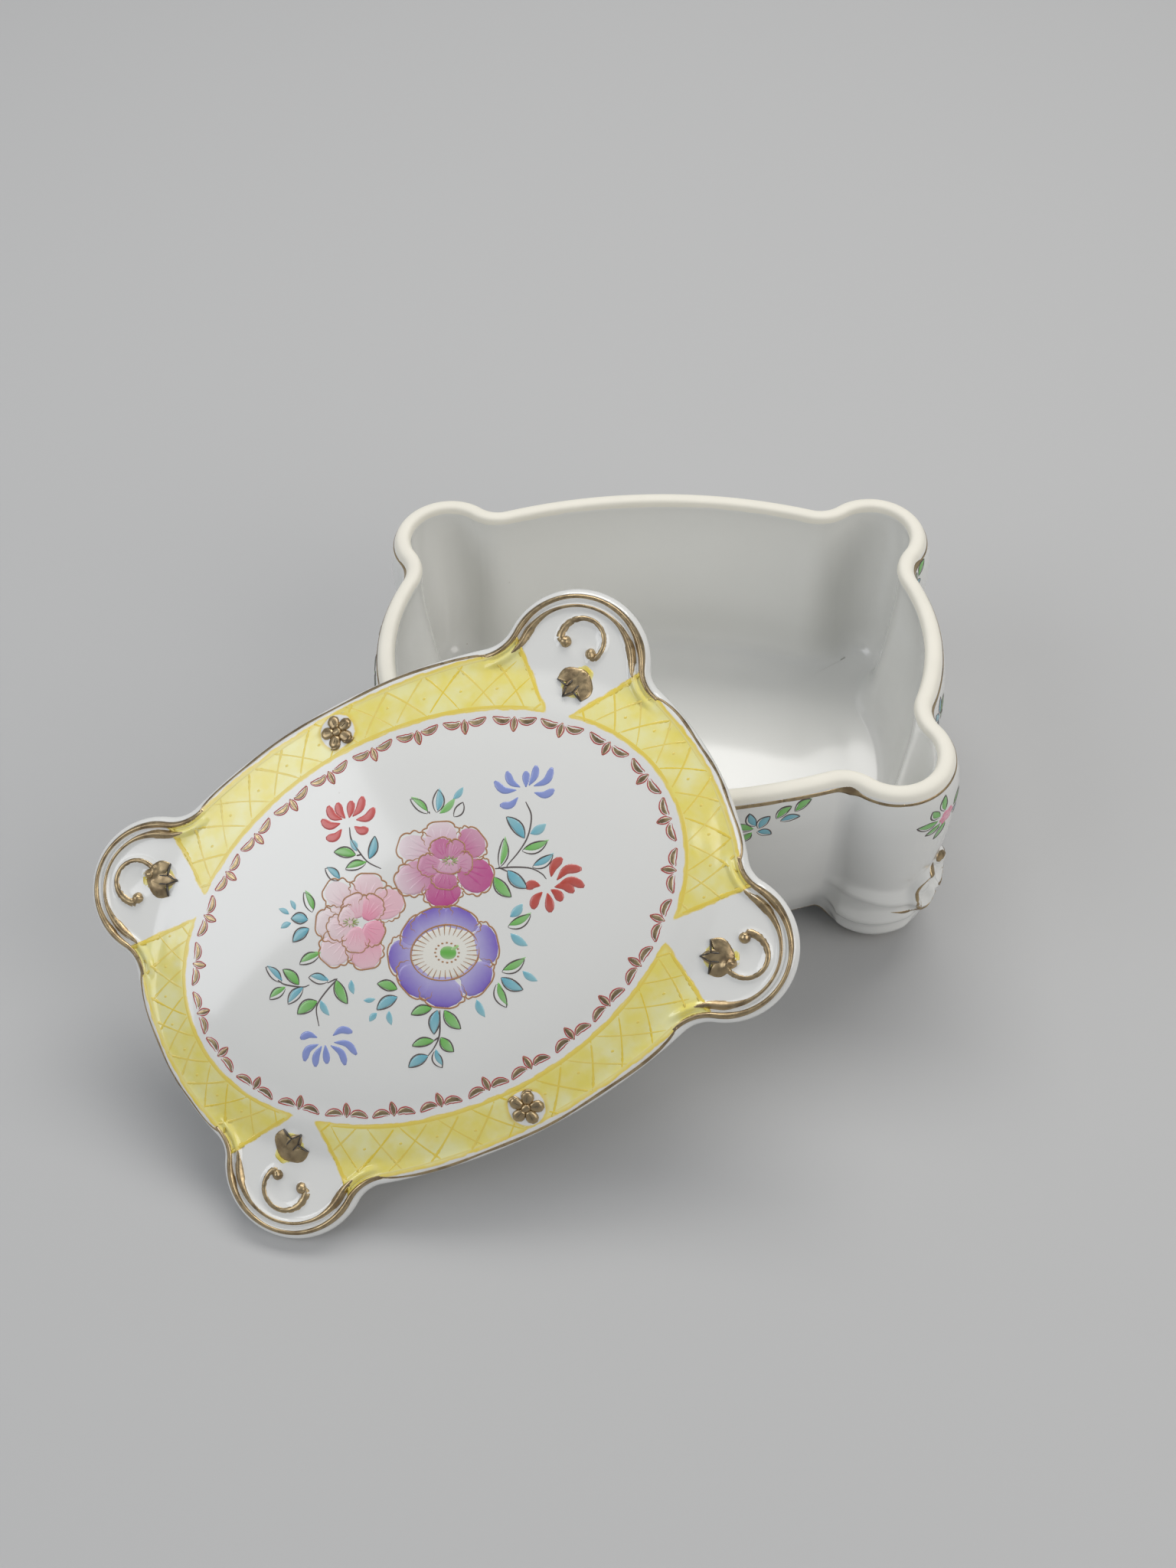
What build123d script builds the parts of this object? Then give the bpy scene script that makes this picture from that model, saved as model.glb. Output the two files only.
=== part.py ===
"""Porcelain trinket box: a lobed, footed box and its lifted-off lid, leaning on the front of the box.

Two castings: box_body, with its columns, feet and rounded rim, and lid, with its dome, ear relief
and locating flange. Millimetres, +Z up, +X along the box's long side, the lid in front of the box
on the -Y side. Each casting is made about its own centre, with the box's feet and the lid's seat on
z = 0, and is then moved to its place about the origin: the middle of the footprint of the two on
the plane that the feet stand on.
"""
from build123d import *
from collections import namedtuple
from math import atan2, cos, degrees, hypot, radians, sin, sqrt
import os

os.makedirs("parts", exist_ok=True)

# ---- driving dimensions ----------------------------------------------------------------------
# A lobed outline is four round ears joined to four bowed sides by hollow necks.
Lobed = namedtuple("Lobed", "half_length half_width side_bow end_bow ear_x ear_y ear_radius side_neck end_neck")
BOX = Lobed(53.0, 39.7, 100.0, 41.5, 42.0, 27.2, 10.8, 4.85, 5.6)
LID = Lobed(55.4, 41.0, 109.0, 50.6, 42.2, 27.1, 12.9, 6.6, 5.1)

rim_height = 48.15          # top of the rim above the feet
apron_height = 4.0          # lower edge of the walls, between the feet
floor_top = 9.0             # inside floor above the feet
rim_land = 1.0              # flat on top of the rounded rim

# Height and inset from the rim's outline, up the outside of the box: hollow at the apron,
# fullest a little below the rim, and rounded over the top.
box_outside = [(apron_height, 3.3), (8.0, 2.2), (12.0, 1.2), (18.0, 0.3), (26.0, -0.7), (35.0, -1.2),
               (42.0, -1.0), (46.0, -0.1), (47.5, 0.5), (rim_height, 1.5)]
# The same up the inside, from the soft corner at the floor.
box_inside = [(floor_top, 8.3), (9.7, 6.9), (11.4, 5.6), (14.5, 4.7), (20.0, 4.1), (28.0, 3.4),
              (38.0, 2.9), (44.0, 3.1), (46.8, 3.5), (rim_height, 1.5 + rim_land)]

# A foot is a turned bulb under each ear: height and radius.
foot_profile = [(0.0, 6.6), (1.2, 8.2), (3.5, 9.6), (7.0, 10.6), (12.0, 10.9), (17.0, 10.3), (22.0, 8.8)]
foot_out = 0.6              # the foot stands this much further out than its ear, both ways
foot_toe = 28.0             # the direction that a toe points, from the long axis
foot_curl_turn = 20.0       # a pair of curls, this far to each side of the toe
foot_curl_reach = 10.5
foot_curl_height = 16.0
foot_curl_radius = 3.1
foot_curl_sweep = 250.0
foot_curl_thickness = 0.9
foot_curl_ball = 1.25

# Height above the seat and inset from the lid's outline, over the rolled edge.
lid_edge = [(0.0, 1.5), (0.55, 0.5), (1.7, 0.0), (2.9, 0.45), (3.5, 1.5)]
# Height and half axes of the ovals, up the sloping band to the ledge round the dome.
lid_band = [(3.0, 54.2, 39.9), (3.7, 52.6, 38.3), (4.7, 49.5, 35.0), (5.5, 46.6, 32.0)]
dome_half_axes = (49.7, 34.0, 6.0)
dome_centre = 3.0           # height of the middle of the ellipsoid that the dome is part of
dome_cut = 2.0              # the dome is kept above this height
hollow_half_axes = (41.0, 26.5, 5.4)

# Depth under the seat and inset from the rim's outline, for the flange that drops inside the rim.
flange_outside = [(-2.8, 5.0), (-2.2, 4.4), (0.6, 4.3)]
flange_inside = [(-2.8, 6.4), (-2.2, 6.9), (0.6, 7.0)]

ridge_insets = (1.6, 3.2)   # the two ridges round each ear, in from the lid's outline
ridge_radius = 0.7
ridge_height = 3.3
neck_share = 0.6            # how far along each neck a ridge runs
curl_out = 3.9              # the curl's centre, outwards from the ear's centre
curl_radius = 3.4
curl_sweep = 240.0
curl_height = 3.5
curl_thickness = 0.5
curl_ball = 0.8
bell_in = 2.2               # the bellflower's centre, inwards from the ear's centre
bell_half_length = 2.4
bell_half_width = 2.4
bell_base = 2.5
bell_rise = 2.0
bell_taper = 12.0           # draft of the bellflower's sides
# Half of the bellflower, from its round base to its middle tip, in half lengths and half widths.
bell_points = [(1.0, 0.0), (0.85, 0.5), (0.3, 0.75), (-0.75, 1.0), (-0.4, 0.42), (-1.0, 0.0)]
boss_place = (0.0, 36.3)    # the flower bosses stand on the middle of the long sides
boss_height = 3.9
boss_petals = 6
petal_radius = 1.15
petal_ring = 2.0

# Where the two castings stand: the box about the origin of the footprint, and the lid by its seat
# plane, leaning on the front rim with one ear on the table.
box_place = Location((23.2, 29.3, 0.0))
lid_seat = Plane(origin=(-38.24, -53.97, 34.89), x_dir=(0.87962, 0.32227, 0.34988), z_dir=(-0.10605, -0.58416, 0.80468))


# ---- the lobed outline -----------------------------------------------------------------------
def neck_centre(side, ear, reach_side, reach_ear, turn):
    """Where a neck's arc is centred: outside both the side's circle and the ear's."""
    dx, dy = ear[0] - side[0], ear[1] - side[1]
    gap = hypot(dx, dy)
    along = (reach_side**2 - reach_ear**2 + gap**2) / (2 * gap)
    across = turn * sqrt(reach_side**2 - along**2)
    return (side[0] + (dx * along - dy * across) / gap, side[1] + (dy * along + dx * across) / gap)


def direction(start, end):
    """The angle in degrees from one point to another."""
    return degrees(atan2(end[1] - start[1], end[0] - start[0]))


def arc(centre, radius, start, end):
    """An arc that takes the short way from one angle to the other."""
    sweep_angle = (end - start + 180) % 360 - 180
    CenterArc(centre, radius, start, sweep_angle)


def quarter_frame(shape):
    """The arc centres of one quarter of an outline."""
    side = (0, shape.half_width - shape.side_bow)
    end = (shape.half_length - shape.end_bow, 0)
    ear = (shape.ear_x, shape.ear_y)
    side_neck = neck_centre(side, ear, shape.side_bow + shape.side_neck, shape.ear_radius + shape.side_neck, 1)
    end_neck = neck_centre(end, ear, shape.end_bow + shape.end_neck, shape.ear_radius + shape.end_neck, -1)
    return side, side_neck, ear, end_neck, end


def lobed_sketch(shape, inset, height):
    """The outline drawn in by an inset, as a face at a height."""
    side, side_neck, ear, end_neck, end = quarter_frame(shape)
    at_side, at_end = direction(side, side_neck), direction(end, end_neck)
    ear_start, ear_end = direction(ear, side_neck), direction(ear, end_neck)
    with BuildSketch(Plane.XY.offset(height)) as section:
        with BuildLine():
            arc(side, shape.side_bow - inset, 90, at_side)
            arc(side_neck, shape.side_neck + inset, at_side + 180, ear_start + 180)
            CenterArc(ear, shape.ear_radius - inset, ear_start, (ear_end - ear_start) % -360)
            arc(end_neck, shape.end_neck + inset, ear_end + 180, at_end + 180)
            arc(end, shape.end_bow - inset, at_end, 0)
            mirror(about=Plane.YZ)
            mirror(about=Plane.XZ)
        make_face()
    return section.sketch


def oval_sketch(half_length, half_width, height):
    """An oval face at a height."""
    with BuildSketch(Plane.XY.offset(height)) as section:
        Ellipse(half_length, half_width)
    return section.sketch


def lobed_loft(shape, profile, mode=Mode.ADD):
    """A smooth loft through the outline at each height and inset."""
    loft([lobed_sketch(shape, inset, height) for height, inset in profile], mode=mode)


def ridge_line(shape, inset, height):
    """The line round an ear: along part of the side's neck, round the ear, along part of the end's neck."""
    side, side_neck, ear, end_neck, end = quarter_frame(shape)
    ear_start, ear_end = direction(ear, side_neck), direction(ear, end_neck)
    side_turn = (ear_start - direction(side, side_neck) + 180) % 360 - 180
    end_turn = (direction(end, end_neck) - ear_end + 180) % 360 - 180
    with BuildLine(Plane.XY.offset(height)) as ridge:
        CenterArc(side_neck, shape.side_neck + inset, ear_start + 180 - neck_share * side_turn,
                  neck_share * side_turn)
        CenterArc(ear, shape.ear_radius - inset, ear_start, (ear_end - ear_start) % -360)
        CenterArc(end_neck, shape.end_neck + inset, ear_end + 180, neck_share * end_turn)
    return ridge.line


def curl_bead(plane, radius, sweep_angle, thickness, ball):
    """A bead round part of a circle, open towards the plane's -X, with a ball at each end."""
    half = sweep_angle / 2
    with Locations(plane.location * Location((0, 0, 0), (0, 0, -half))):
        Torus(radius, thickness, major_angle=sweep_angle, align=None)
    with Locations(*[plane.location * Location((radius * cos(radians(half)), turn * radius * sin(radians(half)), 0))
                     for turn in (1, -1)]):
        Sphere(ball)


def ridge_bead(path, thickness):
    """A round bead along a line, with round ends."""
    with BuildSketch(Plane(origin=path @ 0, z_dir=path % 0)) as section:
        Circle(thickness)
    sweep(section.sketch, path=path)
    with Locations(path @ 0, path @ 1):
        Sphere(thickness)


# ---- box body --------------------------------------------------------------------------------
with BuildPart() as foot:
    # Made about its own axis with its toe along +X.
    with BuildSketch(Plane.XZ):
        with BuildLine():
            Spline([(radius, height) for height, radius in foot_profile])
            Polyline((foot_profile[-1][1], foot_profile[-1][0]), (0, foot_profile[-1][0]), (0, 0),
                     (foot_profile[0][1], 0))
        make_face()
    revolve(axis=Axis.Z)
    for side in (1, -1):
        across, along = cos(radians(foot_curl_turn)), side * sin(radians(foot_curl_turn))
        face_of_curl = Plane(origin=(foot_curl_reach * across, foot_curl_reach * along, foot_curl_height),
                             x_dir=(-abs(along), side * across, 0), z_dir=(across, along, 0))
        curl_bead(face_of_curl, foot_curl_radius, foot_curl_sweep, foot_curl_thickness, foot_curl_ball)

with BuildPart() as box_body:
    lobed_loft(BOX, box_outside)
    for x in (1, -1):
        for y in (1, -1):
            place = (x * (BOX.ear_x + foot_out), y * (BOX.ear_y + foot_out), 0)
            toe = degrees(atan2(y * sin(radians(foot_toe)), x * cos(radians(foot_toe))))
            with Locations(Location(place, (0, 0, toe))):
                add(foot.part)
    lobed_loft(BOX, box_inside, Mode.SUBTRACT)

box_body.part.label = "box_body"
box_body.part.location = box_place
export_step(box_body.part, "parts/box_body.step")

# ---- lid -------------------------------------------------------------------------------------
with BuildPart() as ear_relief:
    # Made on the ear between +X and +Y, and mirrored to the other three.
    for inset in ridge_insets:
        ridge_bead(ridge_line(LID, inset, ridge_height), ridge_radius)
    ear_face = Plane(origin=(LID.ear_x, LID.ear_y, 0), x_dir=(1, 1, 0), z_dir=(0, 0, 1))
    curl_bead(Plane(origin=ear_face.from_local_coords(Vector(curl_out, 0, curl_height)), x_dir=(1, 1, 0),
                    z_dir=(0, 0, 1)), curl_radius, curl_sweep, curl_thickness, curl_ball)
    with BuildSketch(ear_face.offset(bell_base)):
        with BuildLine():
            Polyline(*[(u * bell_half_length - bell_in, v * bell_half_width) for u, v in bell_points])
            mirror(about=Plane.XZ)
        make_face()
    extrude(amount=bell_rise, taper=bell_taper)
    mirror(about=Plane.YZ)
    mirror(about=Plane.XZ)

with BuildPart() as boss:
    Sphere(petal_radius)
    with PolarLocations(petal_ring, boss_petals):
        Sphere(petal_radius)

with BuildPart() as dome:
    Sphere(1)
    scale(by=dome_half_axes)
    split(bisect_by=Plane.XY.offset(dome_cut - dome_centre), keep=Keep.TOP)

with BuildPart() as hollow:
    Sphere(1)
    scale(by=hollow_half_axes)

with BuildPart() as flange:
    lobed_loft(BOX, flange_outside)
    lobed_loft(BOX, flange_inside, Mode.SUBTRACT)

with BuildPart() as lid:
    lobed_loft(LID, lid_edge)
    loft([oval_sketch(length, width, height) for height, length, width in lid_band])
    with Locations((0, 0, dome_centre)):
        add(dome.part)
    add(ear_relief.part)
    with Locations((boss_place[0], boss_place[1], boss_height), (boss_place[0], -boss_place[1], boss_height)):
        add(boss.part)
    add(hollow.part, mode=Mode.SUBTRACT)
    add(flange.part)

lid.part.label = "lid"
lid.part.location = box_place * lid_seat.location
export_step(lid.part, "parts/lid.step")
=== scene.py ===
"""The looks of the porcelain trinket box: its glazed castings, its gilding and its painted enamels.

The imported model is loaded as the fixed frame. Both castings are remodelled with their moulded
relief and stand for the CAD nodes. Gilding and enamels are thin raised strokes laid on the glaze.
Lengths are in millimetres until the last step, when a mesh gets its place in metres.
"""
import random
from math import atan2, cos, degrees, hypot, pi, radians, sin, sqrt

import bpy
import numpy as np
from mathutils import Matrix, Vector


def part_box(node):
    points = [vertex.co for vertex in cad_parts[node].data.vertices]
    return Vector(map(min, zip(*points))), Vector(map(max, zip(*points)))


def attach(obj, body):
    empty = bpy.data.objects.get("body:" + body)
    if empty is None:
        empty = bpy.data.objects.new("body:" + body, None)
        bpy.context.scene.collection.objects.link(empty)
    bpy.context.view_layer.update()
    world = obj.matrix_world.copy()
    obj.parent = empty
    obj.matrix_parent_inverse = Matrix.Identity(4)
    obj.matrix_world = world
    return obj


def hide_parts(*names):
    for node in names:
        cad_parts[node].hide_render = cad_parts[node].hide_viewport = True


bl_info = {
    "name": "Porcelain Trinket Box",
    "version": (1, 0, 0),
    "blender": (4, 5, 0),
    "location": "3D View > Sidebar > Trinket Box",
    "description": "Glazed castings, gilding and painted enamels of a lobed porcelain box",
    "category": "Object",
}

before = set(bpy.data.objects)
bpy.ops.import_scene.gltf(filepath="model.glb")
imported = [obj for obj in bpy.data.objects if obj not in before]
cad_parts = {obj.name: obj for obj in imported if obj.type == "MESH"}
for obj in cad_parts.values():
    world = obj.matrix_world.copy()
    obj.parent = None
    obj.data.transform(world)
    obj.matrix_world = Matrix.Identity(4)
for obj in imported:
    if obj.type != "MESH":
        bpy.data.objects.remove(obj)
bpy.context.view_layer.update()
BODY_LOW, BODY_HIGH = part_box("box_body")
MM = 0.001

# ---- the lobed outlines and the places of the two castings ------------------------------------
# Half length, half width, radii of the bowed sides and ends, place and radius of an ear, and radii of
# the necks between an ear and its side and end.
BOX = (53.0, 39.7, 100.0, 41.5, 42.0, 27.2, 10.8, 4.85, 5.6)
LID = (55.4, 41.0, 109.0, 50.6, 42.2, 27.1, 12.9, 6.6, 5.1)
# Columns along an end, its neck, the ear, the side's neck and the side.
ARC_STEPS = (24, 24, 72, 24, 36)

# Profiles are lists of height and inset from the outline.
RIM_HEIGHT = 48.15
BARE_RIM = (1.25, 0.7)                  # how far below the top the glaze starts to thin, and ends
APRON_HEIGHT = 4.0
FLOOR_TOP = 9.0
CORE = (26.0, 16.0)                     # half sizes of the oval at the middle of the floor and the underside
UNDER_INSET = 4.2                       # where the wall turns under the box
OUTSIDE = ((0.0, 3.9), (4.0, 3.3), (8.0, 2.2), (12.0, 1.2), (18.0, 0.3), (26.0, -0.7), (35.0, -1.2),
           (42.0, -1.0),
           (46.0, -0.1), (47.3, 0.5))
RIM = ((47.3, 0.5), (47.75, 0.85), (48.02, 1.3), (RIM_HEIGHT, 1.9), (RIM_HEIGHT, 2.4), (48.0, 2.95),
       (47.6, 3.3),
       (46.8, 3.5))
INSIDE = ((46.8, 3.5), (44.0, 3.1), (38.0, 2.9), (28.0, 3.4), (20.0, 4.1), (14.5, 4.7), (11.4, 5.6),
          (9.7, 6.9),
          (9.0, 8.3))
FOOT = ((0.0, 6.6), (1.2, 8.2), (3.5, 9.6), (7.0, 10.6), (12.0, 10.9), (17.0, 10.3), (22.0, 8.8), (30.0, 7.0))
FOOT_OUT = 0.6
FOOT_FLAT = 6.7
FOOT_SPREAD = 6.2

EDGE = ((3.5, 1.5), (3.36, 1.0), (2.95, 0.45), (2.4, 0.12), (1.7, 0.0), (1.1, 0.14), (0.55, 0.5), (0.15, 1.0),
        (0.0, 1.5))
PLATEAU, PLATEAU_INSET = 3.5, 3.9       # height of the lid's flat edge, and where its rings turn oval
BAND = ((-8.0, 2.0), (0.0, 3.0), (1.6, 3.7), (4.75, 4.7), (7.7, 5.5), (12.0, 5.5))
BAND_OVAL = (54.2, 39.9)
DOME = (49.7, 34.0, 6.0)
DOME_CENTRE = 3.0
GARLAND = (45.2, 30.8)
HOLLOW = (41.0, 26.5, 5.4)
FLANGE = ((0.0, 4.3), (-1.2, 4.3), (-2.2, 4.4), (-2.65, 4.6), (-2.8, 5.0), (-2.8, 6.4), (-2.65, 6.75),
          (-2.2, 6.9),
          (-1.2, 7.0), (0.0, 7.0))

EARS = ((1, 1), (-1, 1), (-1, -1), (1, -1))
BOX_MIDDLE = Vector(((BODY_LOW[0] + BODY_HIGH[0]) / 2, (BODY_LOW[1] + BODY_HIGH[1]) / 2, 0.0))
LID_X = Vector((0.87962, 0.32227, 0.34988)).normalized()
LID_Z = Vector((-0.10605, -0.58416, 0.80468)).normalized()
LID_Y = LID_Z.cross(LID_X)
LID_ORIGIN = BOX_MIDDLE + Vector((-38.24, -53.97, 34.89)) * MM


def neck_centre(side, ear, reach_side, reach_ear, turn):
    """Where a neck's arc is centred: outside both the side's circle and the ear's."""
    dx, dy = ear[0] - side[0], ear[1] - side[1]
    gap = hypot(dx, dy)
    along = (reach_side ** 2 - reach_ear ** 2 + gap ** 2) / (2 * gap)
    across = turn * sqrt(reach_side ** 2 - along ** 2)
    return side[0] + (dx * along - dy * across) / gap, side[1] + (dy * along + dx * across) / gap


def direction(start, end):
    """The angle in degrees from one point to another."""
    return degrees(atan2(end[1] - start[1], end[0] - start[0]))


class Outline:
    """A lobed outline as points and outward normals, anticlockwise from the middle of the +X end."""

    def __init__(self, shape, fineness=1):
        length, width, side_bow, end_bow, ear_x, ear_y, ear_radius, side_neck, end_neck = shape
        side, end, ear = (0, width - side_bow), (length - end_bow, 0), (ear_x, ear_y)
        by_side = neck_centre(side, ear, side_bow + side_neck, ear_radius + side_neck, 1)
        by_end = neck_centre(end, ear, end_bow + end_neck, ear_radius + end_neck, -1)
        at_side, at_end = direction(side, by_side), direction(end, by_end)
        ear_start, ear_end = direction(ear, by_end), direction(ear, by_side)
        short = lambda a, b: (b - a + 180) % 360 - 180
        arcs = ((end, end_bow, 1, 0, at_end), (by_end, end_neck, -1, at_end + 180, short(at_end, ear_start)),
                (ear, ear_radius, 1, ear_start, (ear_end - ear_start) % 360),
                (by_side, side_neck, -1, ear_end + 180, short(ear_end, at_side)),
                (side, side_bow, 1, at_side, 90 - at_side))
        points, normals, ears = [], [], []
        for number, ((centre, radius, facing, first, sweep), steps) in enumerate(zip(arcs, ARC_STEPS)):
            turns = np.radians(first + sweep * np.arange(steps * fineness) / (steps * fineness))
            ray = np.stack((np.cos(turns), np.sin(turns)), 1)
            points.append(np.array(centre) + ray * radius)
            normals.append(ray * facing)
            share = np.arange(steps * fineness) / (steps * fineness)
            ears.append((0 * share, share, 0 * share + 1, 1 - share, 0 * share)[number])
        points = np.concatenate(points + [np.array([[0.0, width]])])
        normals = np.concatenate(normals + [np.array([[0.0, 1.0]])])
        ears = np.concatenate(ears + [np.array([0.0])])
        flip = np.array([-1.0, 1.0])
        half = lambda a, sign: np.concatenate((a, (a * sign)[-2::-1]))
        points, normals = half(points, flip), half(normals, flip)
        ears = np.concatenate((ears, ears[-2::-1]))
        self.points = np.concatenate((points, -points[1:-1]))
        self.normals = np.concatenate((normals, -normals[1:-1]))
        self.ears = np.concatenate((ears, ears[1:-1]))
        self.count = len(self.points)
        ring = np.concatenate((self.points, self.points[:1]))
        self.along = np.concatenate(([0], np.cumsum(np.hypot(*np.diff(ring, axis=0).T))))

    def at(self, distance, inset=0.0):
        """Points and normals at distances round the outline, drawn in by an inset."""
        where = np.interp(np.mod(distance, self.along[-1]), self.along, np.arange(self.count + 1))
        low = where.astype(int) % self.count
        part = (where - np.floor(where))[:, None]
        point = self.points[low] * (1 - part) + self.points[(low + 1) % self.count] * part
        normal = self.normals[low] * (1 - part) + self.normals[(low + 1) % self.count] * part
        normal /= np.linalg.norm(normal, axis=1)[:, None]
        ear = self.ears[low] * (1 - part[:, 0]) + self.ears[(low + 1) % self.count] * part[:, 0]
        return point - normal * np.reshape(inset, (-1, 1)), normal, ear

    def inset_of(self, x, y):
        """How far inside the outline each point is."""
        quarter = self.count // 4 + 1
        points, normals = self.points[:quarter], self.normals[:quarter]
        found = np.empty(len(x))
        here = np.stack((np.abs(x), np.abs(y)), 1)
        for start in range(0, len(x), 20000):
            some = here[start:start + 20000]
            nearest = ((some[:, None, :] - points[None]) ** 2).sum(2).argmin(1)
            found[start:start + 20000] = ((points[nearest] - some) * normals[nearest]).sum(1)
        return found

    def around(self):
        """The oval angle for each column, always turning the same way."""
        raw = np.unwrap(np.arctan2(self.points[:, 1] / GARLAND[1], self.points[:, 0] / GARLAND[0]))
        step = np.diff(np.concatenate((raw, raw[:1] + 2 * pi)))
        step = np.maximum(step, 0.35 * 2 * pi / self.count)
        blur = np.exp(-0.5 * (np.arange(-24, 25) / 9.0) ** 2)
        step = np.convolve(np.concatenate((step[-24:], step, step[:24])), blur / blur.sum(), "valid")
        angle = np.concatenate(([0], np.cumsum(step)))
        return (angle * 2 * pi / angle[-1])[:-1]


BOX_OUTLINE, LID_OUTLINE = Outline(BOX), Outline(LID)
BOX_FINE, LID_FINE = Outline(BOX, 4), Outline(LID, 4)


def smooth(x, low, high):
    """A soft step from 0 at low to 1 at high."""
    t = np.clip((x - low) / (high - low), 0, 1)
    return t * t * (3 - 2 * t)


def through(points, x):
    """A smooth curve through points, read at x."""
    points = sorted(points)
    px, py = np.array([p[0] for p in points]), np.array([p[1] for p in points])
    slope = np.gradient(py, px)
    x = np.clip(x, px[0], px[-1])
    k = np.clip(np.searchsorted(px, x, side="right") - 1, 0, len(px) - 2)
    h = px[k + 1] - px[k]
    t = (x - px[k]) / h
    return ((1 + 2 * t) * (1 - t) ** 2 * py[k] + t * (1 - t) ** 2 * h * slope[k]
            + t * t * (3 - 2 * t) * py[k + 1] + t * t * (t - 1) * h * slope[k + 1])


def bulge(distance, radius):
    """A round bead's height, from 1 on its line to 0 at its radius."""
    t = np.clip(1 - (distance / radius) ** 2, 0, 1)
    return t * np.sqrt(t)


# ---- the shape of the lid's top ----------------------------------------------------------------
RIDGE_INSETS, RIDGE_WIDTH, RIDGE_RISE = (1.45, 3.1), 0.8, 0.55
CURL_ACROSS, CURL_OUT, CURL_RADIUS = 0.1, 4.0, 3.8
BOSS_PLACE = (0.0, 36.2)
# Where a bellflower sits and points, on the two ears that are one way round and on the two others.
BELLS = {1: ((40.5, 23.8), radians(198.5)), -1: ((40.6, 28.2), radians(211))}


def ear_frame(x, y):
    """Coordinates on an ear: across towards the short end, and outwards along its diagonal."""
    u, v = np.abs(x) - LID[4], np.abs(y) - LID[5]
    return (u - v) / sqrt(2), (u + v) / sqrt(2)


def curl_line():
    """The C-scroll's line in ear coordinates, from one ball to the other."""
    turns = np.radians(np.linspace(186, -38, 40))
    ring = np.stack((CURL_RADIUS * np.cos(turns), CURL_RADIUS * np.sin(turns)), 1)
    line = np.concatenate(([(-2.7, -0.95), (-3.25, -1.0)], ring, [(2.45, -2.4), (2.0, -1.75)]))
    return line + (CURL_ACROSS, CURL_OUT)


def from_ear(line, signs):
    """Ear coordinates to lid coordinates, on the ear with those signs. Every ear is the same hand."""
    across, out = np.asarray(line, float).T
    across = across * signs[0] * signs[1]
    x = LID[4] + (across + out) / sqrt(2)
    y = LID[5] + (out - across) / sqrt(2)
    return np.stack((x * signs[0], y * signs[1]), 1)


def distance_to(line, x, y):
    """The distance from each point to the nearest point of a line."""
    return np.sqrt(((x[:, None] - line[:, 0]) ** 2 + (y[:, None] - line[:, 1]) ** 2).min(1))


def lid_height(x, y, inset=None):
    """The height of the lid's top above its seat."""
    x, y = np.asarray(x, float), np.asarray(y, float)
    inset = LID_FINE.inset_of(x, y) if inset is None else inset
    rim = through([(i, h) for h, i in EDGE[:5]], np.clip(inset, 0, 1.5))
    level = np.clip((1 - np.hypot(x / BAND_OVAL[0], y / BAND_OVAL[1])) * BAND_OVAL[1], -8, 12)
    for _ in range(5):
        a, b = BAND_OVAL[0] - level, BAND_OVAL[1] - level
        value = (x / a) ** 2 + (y / b) ** 2 - 1
        level = np.clip(level - value / (2 * x * x / a ** 3 + 2 * y * y / b ** 3 + 1e-6), -8, 12)
    band = through(BAND, level)
    dome = DOME_CENTRE + DOME[2] * np.sqrt(np.clip(1 - (x / DOME[0]) ** 2 - (y / DOME[1]) ** 2, 0, 1))
    gap = band - dome
    top = np.maximum(band, dome) + 0.12 * np.exp(-(gap / 0.3) ** 2)
    gap = top - PLATEAU
    top = np.where(gap > 0.5, top, np.where(gap < -0.5, PLATEAU, PLATEAU + (gap + 0.5) ** 2 / 2))
    height = rim + (top - PLATEAU) * smooth(inset, 0.6, 2.4)
    across, out = ear_frame(x, y)
    near = 1 - smooth(np.hypot(across, out * 0.9), 12.6, 16.0)
    for line in RIDGE_INSETS:
        height = height + near * RIDGE_RISE * bulge(inset - line, RIDGE_WIDTH)
    height = height - near * 0.25 * bulge(inset - 2.28, 0.5)
    across = across * np.sign(x) * np.sign(y)
    close = (np.hypot(across, out - CURL_OUT) < 6)
    if close.any():
        gap = distance_to(curl_line(), across[close], out[close])
        height[close] += 0.5 * bulge(gap, 0.95) - 0.18 * bulge(np.hypot(across[close], out[close] - CURL_OUT),
                                                               3.0)
    for hand, ((bell_x, bell_y), _) in BELLS.items():
        bell = np.hypot(np.abs(x) - bell_x, np.abs(y) - bell_y)
        height = height + 0.3 * (1 - smooth(bell, 1.6, 3.2)) * (x * y * hand > 0)
    boss = np.hypot(x, np.abs(y) - BOSS_PLACE[1])
    return height + 0.25 * (1 - smooth(boss, 2.2, 3.6))


def to_lid(points):
    """Lid coordinates in millimetres to the shared frame in metres."""
    axes = np.array([LID_X, LID_Y, LID_Z])
    return np.array(LID_ORIGIN) + (np.asarray(points) * MM) @ axes


def from_lid(points):
    """The shared frame in metres to lid coordinates in millimetres."""
    axes = np.array([LID_X, LID_Y, LID_Z])
    return (np.asarray(points) - np.array(LID_ORIGIN)) @ axes.T / MM


def on_lid(x, y, lift):
    """Places on the lid's top, raised by a lift along its axis."""
    return to_lid(np.stack((x, y, lid_height(x, y) + lift), 1))


# ---- the shape of the box's wall ---------------------------------------------------------------
FOOT_TOE = 28.0                         # where a toe points, in degrees from the long axis
FOOT_SCALE = 5.0                        # degrees round a foot for a millimetre along it
FOOT_CURL_TURN, FOOT_CURL_HEIGHT, FOOT_CURL_WIDE, FOOT_CURL_TALL = 15.5, 16.2, 3.0, 4.4
FOOT_RIDGES = ((15.8, 17.5, 1.0, 1.5), (11.6, 10.6, 1.15, 1.5), (6.8, 5.8, 0.7, 1.7))


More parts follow.
